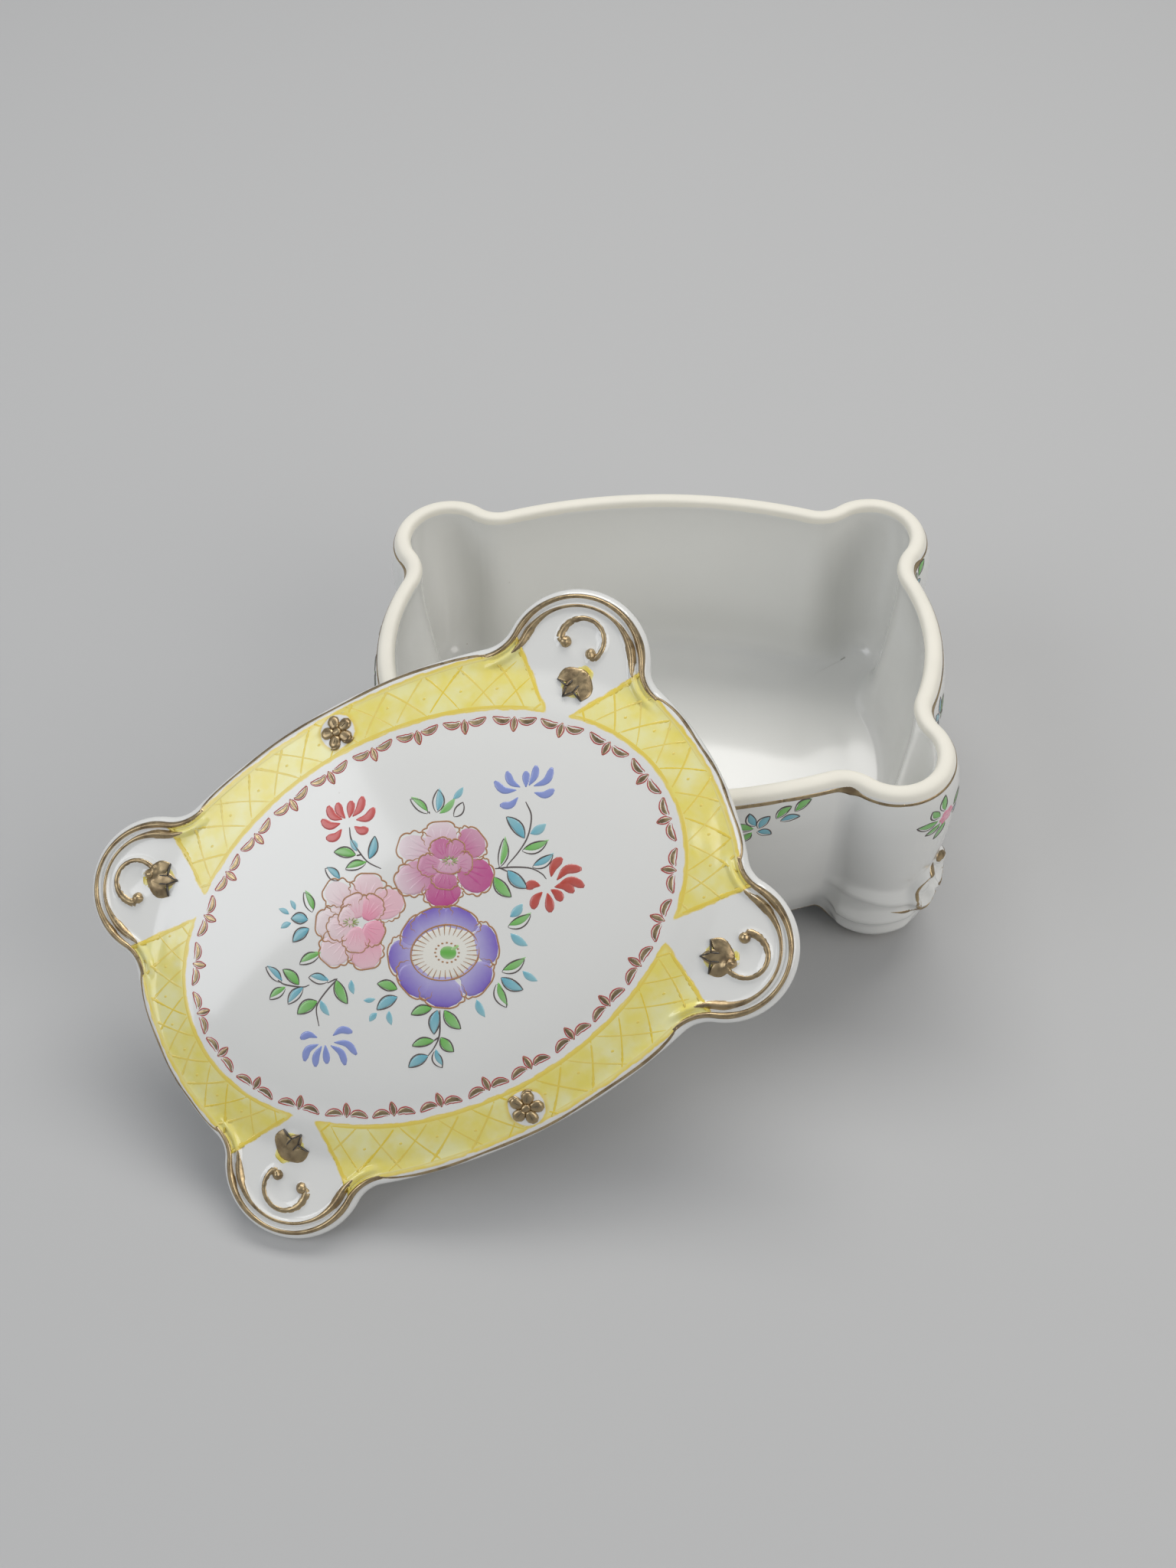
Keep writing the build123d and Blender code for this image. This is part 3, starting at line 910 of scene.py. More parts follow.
def scalloped(place, widths, size, depth):
    """A petal's drawn edge: its shape at a size, with ten scallops of a depth."""
    shape = loop_of(place, widths, count=33)
    waves = np.abs(np.sin(np.linspace(0, 10 * pi, len(shape))))
    middle = shape.mean(0)
    return middle + (shape - middle) * (size + depth * waves)[:, None]


# Leaves of the bouquet, in squares: stem end, tip, half width, colour, and how the enamel sits in
# its drawn outline: "in" it, "off" to one side of it, or a "dab" with no outline.
LEAVES = (
    ((4.62, 5.12), (3.6, 4.98), 0.24, "green", "in"), ((4.66, 4.95), (4.35, 4.4), 0.2, "turquoise", "dab"),
    ((5.25, 5.3), (5.5, 4.26), 0.21, "turquoise", "in"), ((5.1, 5.5), (4.15, 5.78), 0.22, "green", "off"),
    ((7.9, 3.25), (7.1, 2.58), 0.22, "green", "off"), ((8.3, 3.2), (8.36, 2.16), 0.27, "turquoise", "off"),
    ((8.45, 3.25), (9.15, 2.55), 0.2, "green", "dab"), ((9.05, 2.6), (9.5, 2.05), 0.18, "turquoise", "dab"),
    ((9.1, 3.4), (9.5, 2.75), 0.2, None, "in"),
    ((12.25, 4.4), (11.45, 3.42), 0.25, "turquoise", "in"), ((12.5, 4.2), (13.2, 3.75), 0.25, "turquoise",
                                                             "dab"),
    ((12.15, 4.98), (13.25, 4.55), 0.24, "green", "off"), ((11.15, 5.7), (11.35, 4.4), 0.22, "green", "off"),
    ((12.6, 5.72), (13.5, 5.15), 0.22, "turquoise", "off"), ((11.5, 5.85), (12.35, 6.65), 0.27, "turquoise",
                                                             "in"),
    ((10.9, 6.15), (11.65, 7.05), 0.27, "green", "in"), ((11.5, 8.42), (12.5, 7.85), 0.24, "green", "off"),
    ((11.6, 7.95), (12.15, 7.35), 0.25, "turquoise", "dab"), ((11.6, 8.7), (12.35, 9.25), 0.24, "turquoise",
                                                              "dab"),
    ((11.2, 10.45), (12.2, 9.85), 0.24, "green", "off"), ((12.1, 10.4), (12.75, 10.85), 0.2, "turquoise",
                                                          "dab"),
    ((11.15, 10.7), (12.1, 11.25), 0.25, "turquoise", "in"), ((10.95, 11.0), (11.35, 12.05), 0.25, "green",
                                                              "off"),
    ((10.05, 11.7), (10.4, 12.5), 0.22, "turquoise", "dab"),
    ((2.6, 7.75), (2.2, 6.85), 0.24, "green", "off"), ((2.4, 8.1), (1.6, 8.05), 0.26, "turquoise", "in"),
    ((2.45, 8.5), (1.68, 9.12), 0.25, "turquoise", "in"), ((1.8, 7.65), (1.55, 7.2), 0.14, "turquoise",
                                                           "dab"),
    ((1.5, 7.85), (1.0, 7.6), 0.15, "turquoise", "dab"), ((1.6, 8.25), (1.1, 8.5), 0.17, "turquoise", "dab"),
    ((2.95, 9.7), (2.0, 10.15), 0.24, "green", "off"), ((3.85, 6.3), (3.2, 5.75), 0.25, "turquoise", "off"),
    ((1.1, 11.0), (0.38, 10.3), 0.23, "turquoise", "off"), ((1.95, 11.1), (1.2, 10.4), 0.24, "green", "in"),
    ((1.3, 11.3), (0.55, 11.8), 0.22, "green", "off"), ((2.15, 11.25), (1.42, 12.0), 0.24, "turquoise",
                                                        "off"),
    ((3.3, 10.95), (2.42, 10.75), 0.24, "turquoise", "off"), ((3.7, 10.85), (4.2, 11.95), 0.26, "green",
                                                              "in"),
    ((4.4, 10.85), (4.5, 11.5), 0.18, "turquoise", "dab"), ((2.8, 11.85), (1.85, 12.45), 0.28, "green", "in"),
    ((2.95, 11.8), (3.35, 12.5), 0.2, "turquoise", "dab"), ((4.95, 11.78), (5.5, 11.7), 0.14, "turquoise",
                                                            "dab"),
    ((6.5, 11.6), (5.55, 12.2), 0.25, "turquoise", "in"), ((6.5, 11.25), (5.6, 11.0), 0.24, "green", "in"),
    ((5.55, 12.35), (5.2, 12.75), 0.18, "turquoise", "dab"), ((6.1, 12.25), (6.2, 12.9), 0.18, "turquoise",
                                                              "dab"),
    ((8.05, 12.1), (7.1, 12.4), 0.22, "green", "in"), ((8.3, 12.2), (8.1, 13.3), 0.25, "turquoise", "in"),
    ((8.6, 12.2), (9.3, 13.05), 0.27, "green", "in"), ((8.1, 13.6), (7.1, 13.85), 0.2, "green", "in"),
    ((8.4, 13.45), (8.95, 14.1), 0.25, "green", "in"), ((7.8, 14.3), (6.9, 14.85), 0.24, "turquoise", "in"),
    ((8.1, 14.1), (8.4, 14.85), 0.22, "turquoise", "off"),
)
STEMS = (
    ((4.3, 3.85), (4.4, 4.4), (4.8, 5.0), (5.2, 5.45), (5.8, 5.75)), ((4.66, 5.15), (4.9, 5.1)),
    ((12.3, 2.75), (12.55, 3.4), (12.4, 4.3), (12.0, 5.0), (11.5, 5.6), (11.45, 5.72)),
    ((10.95, 5.77), (11.7, 5.7), (12.5, 5.75), (13.0, 6.0), (13.2, 6.25)), ((11.1, 5.7), (11.5, 5.9)),
    ((7.95, 3.15), (8.0, 3.25)), ((0.95, 10.9), (1.3, 11.1), (2.1, 11.2), (2.45, 11.1)),
    ((3.3, 11.0), (3.75, 10.8), (3.3, 11.3), (2.85, 11.9), (2.75, 12.3), (2.85, 13.0)),
    ((8.4, 12.2), (8.35, 13.3), (8.1, 13.9), (7.8, 14.3)), ((8.1, 13.6), (8.35, 13.4)),
)
# Strap-petalled flowers: the eye, each petal's tip, half width, and colour.
ASTERS = (
    ((4.25, 3.75), ((2.95, 3.5), (3.2, 4.35), (3.25, 2.85), (3.7, 2.7), (4.35, 2.62), (4.88, 2.42),
                    (5.45, 2.95),
                    (5.2, 3.95)), 0.2, "red"),
    ((13.2, 6.5), ((13.9, 5.3), (14.75, 5.8), (14.85, 6.6), (14.4, 6.85), (13.85, 7.25), (13.35, 7.75),
                   (12.6, 7.6),
                   (12.3, 6.65)), 0.21, "vermilion"),
    ((12.3, 2.4), ((11.15, 2.9), (10.9, 1.8), (11.45, 1.35), (12.3, 1.35), (12.75, 1.1), (13.45, 1.2),
                   (13.55, 2.2)),
     0.17, "blue"),
    ((3.1, 13.5), ((4.4, 13.25), (4.55, 14.3), (4.0, 14.8), (3.15, 14.75), (2.6, 14.9), (2.1, 14.65),
                   (1.95, 13.6)),
     0.17, "blue"),
)
# Petals of the two peonies and the anemone: base, tip, half width, shares of the flower's full
# colour at the base and at the tip.
UPPER_PEONY = (
    ((8.5, 5.2), (6.55, 4.6), 0.78, 0.4, 0.04), ((8.6, 5.0), (8.5, 3.6), 0.85, 0.5, 0.05),
    ((9.3, 5.0), (10.35, 4.2), 0.8, 0.9, 0.55), ((9.3, 5.6), (10.85, 6.3), 0.85, 0.8, 0.95),
    ((8.7, 6.0), (8.7, 7.5), 0.9, 0.75, 1.0), ((8.3, 5.7), (6.5, 6.6), 0.78, 0.9, 0.12),
    ((8.75, 5.3), (8.35, 4.4), 0.55, 0.75, 0.85), ((9.0, 5.3), (9.4, 4.5), 0.42, 0.7, 0.7),
    ((8.6, 5.6), (7.5, 5.45), 0.5, 0.6, 0.7), ((9.2, 5.6), (9.95, 5.5), 0.5, 0.6, 0.6),
    ((8.75, 5.8), (8.65, 6.7), 0.6, 0.7, 0.9), ((8.8, 5.35), (8.75, 5.98), 0.62, 0.45, 0.5),
)
LOWER_PEONY = (
    ((4.7, 7.8), (3.2, 6.55), 0.75, 0.25, 0.04), ((5.0, 7.6), (5.2, 5.95), 0.85, 0.35, 0.18),
    ((5.2, 7.9), (6.85, 7.1), 0.75, 0.5, 0.4), ((4.5, 8.2), (2.75, 8.2), 0.8, 0.15, 0.02),
    ((4.6, 8.6), (3.2, 10.1), 0.8, 0.3, 0.1), ((5.0, 8.5), (5.2, 10.35), 0.85, 0.75, 0.35),
    ((4.8, 8.0), (4.4, 6.95), 0.65, 0.5, 0.2), ((5.1, 8.1), (5.65, 7.0), 0.6, 0.9, 0.5),
    ((4.5, 8.2), (3.35, 8.7), 0.6, 0.3, 0.12), ((5.0, 8.4), (5.9, 8.9), 0.62, 0.75, 0.7),
    ((4.7, 8.4), (4.6, 9.6), 0.62, 0.6, 0.35), ((4.6, 8.0), (3.9, 7.75), 0.5, 0.25, 0.15),
)
ANEMONE_EYE, ANEMONE_RADII = (8.68, 9.57), (1.55, 1.25)
ANEMONE = ((-2.55, 0.35, 0.95), (-1.75, -1.25, 0.85), (-0.75, -1.95, 0.95), (0.9, -1.95, 0.95),
           (2.35, -0.5, 0.95),
           (1.85, 1.55, 0.95), (-0.2, 2.5, 1.0), (-1.85, 1.7, 0.95))


def blend_colour(first, second, share):
    """A colour between two others."""
    return tuple(a + (b - a) * share for a, b in zip(first, second))


def painted_flower(petals, full, pale, outline, wobble):
    """Washes and scalloped outlines of a flower's petals, the later petals over the earlier."""
    washes, lines = [], []
    for number, (base, tip, width, at_base, at_tip) in enumerate(petals):
        line, widths = petal_shape(base, tip, width, bend=wobble.uniform(-0.06, 0.06))
        lift = 0.02 + 0.007 * number
        place, widths = drawn(line), scaled(widths, SQUARE)
        base_colour, tip_colour = blend_colour(pale, full, at_base), blend_colour(pale, full, at_tip)
        washes.append(Stroke(place, widths, base_colour, tip_colour, lift=lift, steps=(14, 8)))
        edge = scalloped(place, widths, 0.95, 0.12)
        lines.append(Stroke(edge[9:-9], (0.1, 0.15, 0.17, 0.15, 0.18, 0.15, 0.1), outline, lift=lift + 0.04,
                            steps=(70, 2)))
        way = place[-1] - place[0]
        beside = np.array((-way[1], way[0])) / np.hypot(*way) * max(widths)
        vein = np.array((place[0] * 0.7 + place[1] * 0.3, (place[0] + place[-1]) / 2,
                         place[0] * 0.2 + place[-1] * 0.8))
        vein_colour = blend_colour(pale, full, min(1, at_base + 0.15))
        for lean in (-0.5, 0.0, 0.5):
            washes.append(Stroke(vein + np.outer((0.2, 0.6, 1.0), beside * lean), (0.05, 0.3, 0.4, 0.1),
                                 vein_colour,
                                 tip_colour, lift=lift + 0.015, steps=(10, 3)))
    return washes, lines


def leaf_strokes(paints, wobble):
    """Enamel and outlines of the bouquet's leaves."""
    washes, lines = [], []
    for base, tip, width, colour, lie in LEAVES:
        line = drawn((base, ((base[0] + tip[0]) / 2 + (base[1] - tip[1]) * 0.06,
                             (base[1] + tip[1]) / 2 + (tip[0] - base[0]) * 0.06), tip))
        size = width * SQUARE
        if colour:
            shift = np.array((wobble.uniform(0.15, 0.4), wobble.uniform(0.1, 0.3))) * (lie == "off")
            share = 0.72 if lie == "off" else 0.92
            paint = paints[colour]
            washes.append(Stroke(line + shift, scaled(LEAF, size * share), paint,
                                 blend_colour(paint, (0.75, 0.85, 0.7), 0.25),
                                 edge=blend_colour(paint, (0.8, 0.85, 0.8), 0.3) if lie == "dab" else None,
                                 lift=0.07, steps=(10, 4)))
        if lie != "dab":
            lines.append(Stroke(loop_of(line, scaled(LEAF, size), count=15),
                                (0.07, 0.13, 0.15, 0.08, 0.14, 0.14, 0.07), paints["outline"], lift=0.1,
                                steps=(30, 2)))
    return washes, lines


def aster_strokes(eye, tips, width, paint):
    """Strap petals, each a stroke that swells to its tip."""
    touches = []
    for tip in tips:
        way = np.array(tip) - np.array(eye)
        start = np.array(eye) + way * 0.3
        bend = np.array((-way[1], way[0])) * 0.14 * np.clip(way[0], -1, 1) * np.sign(eye[1] - tips[3][1])
        touches.append(Stroke(drawn((start, (start + np.array(tip)) / 2 + bend, tip)),
                              scaled((0.15, 0.5, 0.8, 1.0, 1.05, 0.9, 0.4), width * SQUARE * 1.08), paint,
                              blend_colour(paint, (0.85, 0.7, 0.7), 0.08),
                              edge=blend_colour(paint, (0.8, 0.8, 0.85), 0.1), lift=0.07, steps=(12, 4)))
    return touches


def anemone_strokes(paints):
    """The anemone: scalloped petals round an open eye with its ring of stamens."""
    eye = np.array(ANEMONE_EYE)
    gold, cream, pale = paints["outline_gold"], (0.82, 0.80, 0.72), (0.62, 0.60, 0.80)
    washes, lines = [], []
    for number, (dx, dy, width) in enumerate(ANEMONE):
        way = np.array((dx, dy))
        base = eye + way / np.hypot(*(way / ANEMONE_RADII)) * 0.82
        line, widths = petal_shape(base, eye + way, width)
        place, widths = drawn(line), scaled(widths, SQUARE)
        lift = 0.03 + 0.006 * number
        washes.append(Stroke(place, [max(w, 0.55 * max(widths)) for w in widths[:-1]] + widths[-1:],
                             blend_colour(pale, paints["purple"], 0.25), paints["purple"], lift=lift,
                             steps=(14, 8)))
        edge = scalloped(place, widths, 1.0, 0.09)
        lines.append(Stroke(edge[8:-8], (0.1, 0.16, 0.17, 0.16, 0.1), gold, lift=lift + 0.035, steps=(56, 2)))

    def oval(share, at):
        u, v = ANEMONE_RADII[0] * share * np.cos(at), ANEMONE_RADII[1] * share * np.sin(at)
        tilt = radians(14)
        return np.stack((eye[0] + u * cos(tilt) + v * sin(tilt), eye[1] - u * sin(tilt) + v * cos(tilt)), 1)

    across = np.linspace(-1, 1, 13)
    washes.append(Stroke(drawn(oval(across, np.zeros(13))),
                         scaled(np.sqrt(np.clip(1 - across ** 2, 0.02, 1)), ANEMONE_RADII[1] * SQUARE), cream,
                         lift=0.085, steps=(24, 12)))
    lines.append(Stroke(drawn(oval(1.0, np.linspace(0, 2 * pi, 41))), (0.19, 0.19), gold, lift=0.14,
                        steps=(64, 2)))
    for turn in np.linspace(0, 2 * pi, 33)[:-1]:
        ray = drawn(oval(np.array((0.98, 0.78, 0.60)), np.full(3, turn)))
        lines.append(Stroke(ray, (0.15, 0.13, 0.05), gold, lift=0.13, steps=(6, 2)))
    for turn in np.linspace(0, 2 * pi, 17)[:-1]:
        spot = eye + np.array((0.1, 0.0)) + 0.53 * np.array((cos(turn), sin(turn) * 0.85))
        lines.append(Stroke(drawn((spot - (0.065, 0), spot + (0.065, 0))), scaled(ROUND, 0.27), gold,
                            lift=0.13,
                            steps=(5, 3)))
    heart = eye + np.array((0.15, 0.0))
    washes.append(Stroke(drawn((heart - (0.42, 0), heart + (0.42, 0))), scaled(ROUND, 1.55), paints["green"],
                         edge=(0.55, 0.66, 0.42), lift=0.12, steps=(10, 8)))
    washes.append(Stroke(drawn((heart + (0.1, -0.1), heart + (0.5, -0.35))), scaled(ROUND, 0.5),
                         (0.38, 0.62, 0.25), lift=0.12, steps=(8, 4)))
    return washes, lines


def stamen_strokes(centre, count=11, reach=0.3):
    """A peony's green stamens."""
    touches = []
    for number in range(count):
        turn = 2 * pi * number / count
        tip = np.array(centre) + reach * np.array((cos(turn) * 1.3, sin(turn) * 0.8))
        colour = (0.30, 0.28, 0.10) if number % 2 else (0.36, 0.45, 0.16)
        touches.append(Stroke(drawn((np.array(centre) + (tip - centre) * 0.3, tip)), (0.16, 0.13, 0.1),
                              colour,
                              lift=0.16, steps=(5, 3)))
    return touches


def garland_strokes(red):
    """Crescents in pairs with a pointed leaf between them, round the foot of the dome."""
    fills, lines = [], []
    turns = np.linspace(0, 2 * pi, 2001)
    ring = np.stack((GARLAND[0] * np.cos(turns), GARLAND[1] * np.sin(turns)), 1)
    along = np.concatenate(([0], np.cumsum(np.hypot(*np.diff(ring, axis=0).T))))
    wobble = random.Random(7)

    def place(distance, inwards):
        turn = np.interp(np.mod(distance, along[-1]), along, turns)
        point = np.stack((GARLAND[0] * np.cos(turn), GARLAND[1] * np.sin(turn)), 1)
        way = np.stack((np.cos(turn) / GARLAND[0], np.sin(turn) / GARLAND[1]), 1)
        return point - way / np.linalg.norm(way, axis=1)[:, None] * np.reshape(inwards, (-1, 1))

    def motif(line, widths, border, fill_steps, count, line_steps):
        """A gilt stroke and the red line drawn round it."""
        fills.append(Stroke(line, widths, WHITE, lift=0.06, steps=fill_steps))
        edge = loop_of(line, border, count=count)
        lines.append(Stroke(np.concatenate((edge, edge[:1])), (0.12, 0.15, 0.1, 0.14, 0.12), red, lift=0.09,
                            steps=line_steps))

    pitch = along[-1] / GARLAND_REPEATS
    for number in range(GARLAND_REPEATS):
        middle = (number + 0.5) * pitch + wobble.uniform(-0.2, 0.2)
        for side in (1, -1):
            crescent = place(middle + np.array((0.75, 1.7, 2.75, 3.75)) * side, (0.35, 0.75, 0.6, 0.05))
            motif(crescent, scaled((0.2, 0.8, 1.0, 0.75, 0.1), 0.52),
                  scaled((0.4, 0.95, 1.15, 0.9, 0.25), 0.56),
                  (12, 4), 15, (34, 2))
        leaf = place(np.array((middle, middle + 0.06, middle)), (0.0, 1.3, 2.6))
        motif(leaf, scaled(LEAF, 0.46), scaled(LEAF, 0.6), (10, 4), 13, (28, 2))
    return fills, lines


def trellis_strokes(deep):
    """Brushed criss-cross lines, border lines and dots on the yellow wash."""
    touches = []
    wobble = random.Random(11)
    turns = np.linspace(0, 2 * pi, 2001)

    def oval(turn, out):
        return np.stack(((GARLAND[0] + out) * np.cos(turn), (GARLAND[1] + out) * np.sin(turn)), 1)

    def kept(line, margin=0.0):
        """The runs of a line that are inside the wash."""
        inset = LID_FINE.inset_of(line[:, 0], line[:, 1])
        depth = wash_depth(np.column_stack((line, np.full(len(line), 4.0))), inset)
        inside = np.concatenate(([0], (depth > margin).astype(int), [0]))
        starts, ends = np.where(np.diff(inside) == 1)[0], np.where(np.diff(inside) == -1)[0]
        return [line[a:b] for a, b in zip(starts, ends) if b - a > 5]

    def brush(line, half, share):
        steps = int(np.clip(np.hypot(*np.diff(line, axis=0).T).sum() / 0.9, 6, 60))
        thinned = line[np.linspace(0, len(line) - 1, min(len(line), 40)).astype(int)]
        touches.append(Stroke(thinned, scaled((0.6, 1.0, 0.8, 1.0, 0.9, 0.5), half),
                              blend_colour(DRY_WASH, deep, share), lift=0.02, steps=(steps, 3)))

    for line in kept(oval(turns, 1.75)):
        brush(line, 0.5, 0.85)
    for line in kept(LID_FINE.points - LID_FINE.normals * 2.0, 0.2):
        brush(line, 0.28, 0.45)
    for number in range(TRELLIS_REPEATS):
        for lean in (1, -1):
            start = 2 * pi * (number + wobble.uniform(-0.12, 0.12)) / TRELLIS_REPEATS
            share = np.linspace(0, 1, 40)
            skew = lean * 0.165 * (1 + 0.15 * wobble.uniform(-1, 1))
            line = oval(start + skew * share, 1.2 + share * 9.0)
            for part in kept(line, 0.1):
                brush(part, wobble.uniform(0.22, 0.36), wobble.uniform(0.7, 1.0))
        turn = 2 * pi * (number + 0.5) / TRELLIS_REPEATS + 0.08
        spot = oval(np.full(1, turn), 5.3 + wobble.uniform(-0.5, 0.5))[0]
        dot = spot + np.array(((-0.3, 0.0), (0.0, 0.08), (0.3, 0.0)))
        if len(kept(np.repeat(dot, 3, axis=0), 0.6)):
            touches.append(Stroke(dot, scaled(ROUND, 0.3), blend_colour(DRY_WASH, deep, 0.8), lift=0.03,
                                  steps=(5, 3)))
    for signs in EARS:
        for side in (1, -1):
            out = np.linspace(-8.6, 4.0, 30)
            wedge = np.stack((side * (2.6 + 0.85 * (out + 9.0)), out), 1)
            for part in kept(from_ear(wedge, signs), 0.12):
                brush(part, 0.5, 0.9)
    return touches


# Flares of the gilt lines on an ear's outer and inner ridges.
OUTER_FLARE = (0.9, 1.3, 2.0, 1.5, 1.0, 1.0, 1.2, 1.7, 1.3, 0.9)
INNER_FLARE = (0.5, 2.6, 2.9, 1.9, 1.15, 0.95, 0.9, 0.9, 0.95, 1.15, 1.9, 2.9, 2.6, 0.4)


def lid_gold_strokes(half, lift):
    """Gilt lines of the lid: on the ridges of its ears, between the ears, and on the curls."""
    touches = []
    outline = LID_FINE
    wobble = random.Random(5)
    quarters = np.arange(outline.count) // (outline.count // 4)
    ears = [np.where((outline.ears > 0) & (quarters == number))[0] for number in range(4)]
    ridges = ((RIDGE_INSETS[0], -0.02, 1.02, OUTER_FLARE, 1.25),
              (RIDGE_INSETS[1], 0.07, 0.93, INNER_FLARE, 1.0))
    for number, ear in enumerate(ears):
        first, last = outline.along[ear[0]], outline.along[ear[-1]]
        if number % 2:
            first, last = last, first
        for inset, start, end, flare, thick in ridges:
            point, _, _ = outline.at(first + (last - first) * np.linspace(start, end, 60), inset)
            touches.append(Stroke(point, scaled(flare, half * thick), WHITE, lift=lift, steps=(110, 6)))
        begin, finish = outline.along[ear[-1]], outline.along[ears[(number + 1) % 4][0]]
        finish += outline.along[-1] * (number == 3)
        share = np.linspace(0, 1, 60)
        waver = 0.55 + 0.12 * np.sin(share * 17 + number) + 0.9 * (np.abs(share * 2 - 1) ** 10)
        point, _, _ = outline.at(begin + (finish - begin) * share, waver)
        widths = [half * wobble.uniform(0.55, 1.0) for _ in range(14)]
        touches.append(Stroke(point, widths, WHITE, lift=lift, steps=(100, 4)))
    line = curl_line()
    widths = scaled((2.0, 2.6, 2.5, 2.0, 1.6, 1.4, 1.4, 1.4, 1.4, 1.5, 1.7, 1.8), half)
    for signs in EARS:
        touches.append(Stroke(from_ear(line, signs), widths, WHITE, lift=lift, steps=(60, 6)))
        for ball, size in ((line[0], 1.0), (line[-1], 0.95)):
            spot = from_ear((ball - (0, size), ball, ball + (0, size)), signs)
            touches.append(Stroke(spot, scaled(ROUND, size), WHITE, lift=0.55, steps=(10, 8)))
    return touches


def bell_places(signs):
    """The bellflower's base and the tips of its three lobes."""
    centre, bell_turn = BELLS[signs[0] * signs[1]]
    centre = np.array(centre)
    heading = lambda turn: np.array((cos(turn), sin(turn)))
    base = centre - heading(bell_turn) * 3.0
    tips = [base + heading(bell_turn + lean) * reach for lean, reach in ((-0.6, 5.2), (0.0, 5.9), (0.6, 5.2))]
    flip = np.array(signs)
    return base * flip, [tip * flip for tip in tips], centre * flip


def bell_strokes(lift):
    """Three pointed lobes from a round base, with dark lines between them, and a yellow halo."""
    lobes, veins, halo = [], [], []
    for signs in EARS:
        base, tips, centre = bell_places(signs)
        for number, tip in enumerate((tips[0], tips[2], tips[1])):
            start = base + (centre - base) * 0.2
            middle = (start + tip) / 2 + (tip - tips[1]) * 0.1
            lobes.append(Stroke((start, middle, tip), scaled((0.9, 1.1, 1.25, 1.4, 1.35, 0.9, 0.05), 1.0),
                                WHITE,
                                lift=lift + 0.03 * (number == 2), steps=(14, 8)))
        lobes.append(Stroke((base, base * 0.4 + centre * 0.6, centre * 1.1 - base * 0.1), scaled(ROUND, 1.4),
                            WHITE, lift=lift, steps=(10, 8)))
        for tip in (tips[0], tips[2]):
            notch = centre * 0.5 + (tip + tips[1]) * 0.25
            inner = base * 0.5 + (tip + tips[1]) * 0.25
            for start, end in ((tip, notch), (notch, inner), (tips[1], notch)):
                veins.append(Stroke((start, (start + end) / 2, end), (0.15, 0.2, 0.18), DARK,
                                    lift=lift + 0.45,
                                    steps=(10, 2)))
        halo.append(Stroke((base + (base - centre) * 0.25, centre, centre + (centre - base) * 0.75),
                           scaled((0.5, 0.75, 0.9, 1.05, 1.1, 0.5), 2.4), (0.78, 0.62, 0.06), lift=0.04,
                           edge=(0.82, 0.79, 0.4), steps=(14, 8)))
    return lobes, veins, halo


def boss_strokes(lift):
    """A five-petalled flower with two leaves in the middle of each long side."""
    petals, veins = [], []
    for side in (1, -1):
        centre = np.array((BOSS_PLACE[0], BOSS_PLACE[1] * side))
        for number in range(5):
            turn = radians(72 * number + 90 * side)
            way = np.array((cos(turn), sin(turn)))
            petals.append(Stroke((centre + way * 0.6, centre + way * 1.7, centre + way * 3.0),
                                 scaled((0.5, 0.85, 1.0, 0.95, 0.4), 1.12), WHITE, lift=lift, steps=(9, 8)))
            veins.append(Stroke((centre + way * 1.0, centre + way * 2.4), (0.09, 0.14, 0.05), DARK,
                                lift=lift + 0.15,
                                steps=(5, 2)))
        petals.append(Stroke((centre - (0.85, 0), centre, centre + (0.85, 0)), scaled(ROUND, 0.85), WHITE,
                             lift=lift + 0.25, steps=(8, 8)))
        for lean in (1, -1):
            start = centre + np.array((0.2 * lean, -2.4 * side * 0.9))
            petals.append(Stroke((start, start + (1.0 * lean, -0.35 * side),
                                  start + (2.2 * lean, -0.2 * side)),
                                 scaled(LEAF, 0.45), WHITE, lift=lift * 0.6, steps=(8, 5)))
    return petals, veins


# ---- paint on the box --------------------------------------------------------------------------
def outline_distance(turn):
    """The distance round the box's outline that faces a direction from the middle, in degrees."""
    angles = np.degrees(np.arctan2(BOX_FINE.points[:, 1], BOX_FINE.points[:, 0]))
    return BOX_FINE.along[np.abs((angles - turn + 180) % 360 - 180).argmin()]


def spray(distance, height, facing, size, leaves, paints):
    """A small painted spray: leaves about a place on the wall, in millimetres round it and up it."""
    washes, lines = [], []
    for (x0, z0), (x1, z1), width, colour in leaves:
        start = np.array((distance + facing * x0 * size, height + z0 * size))
        tip = np.array((distance + facing * x1 * size, height + z1 * size))
        bend = np.array((start[1] - tip[1], tip[0] - start[0])) * 0.08
        line = (start, (start + tip) / 2 + bend, tip)
        paint = paints[colour]
        shift = np.array((0.12, 0.1)) * size
        washes.append(Stroke(np.array(line) + shift, scaled(LEAF, width * size * 0.8), paint,
                             blend_colour(paint, (0.7, 0.8, 0.7), 0.2), lift=0.06, steps=(9, 4)))
        lines.append(Stroke(loop_of(line, scaled(LEAF, width * size), count=13),
                            (0.08, 0.15, 0.19, 0.1, 0.07),
                            paints["outline"], lift=0.09, steps=(24, 2)))
    return washes, lines


# Where the sprays are, as a direction from the middle and the way that they face.
SPRIG_PLACES = ((-66.5, 1), (-113.5, -1), (66.5, -1), (113.5, 1), (14, 1), (-14, -1), (166, 1), (194, -1))
EAR_SPRIG_PLACES = ((35, -1), (145, 1), (215, -1), (325, 1))
SPRIG_HEIGHT, EAR_SPRIG_HEIGHT = 41.0, 39.0
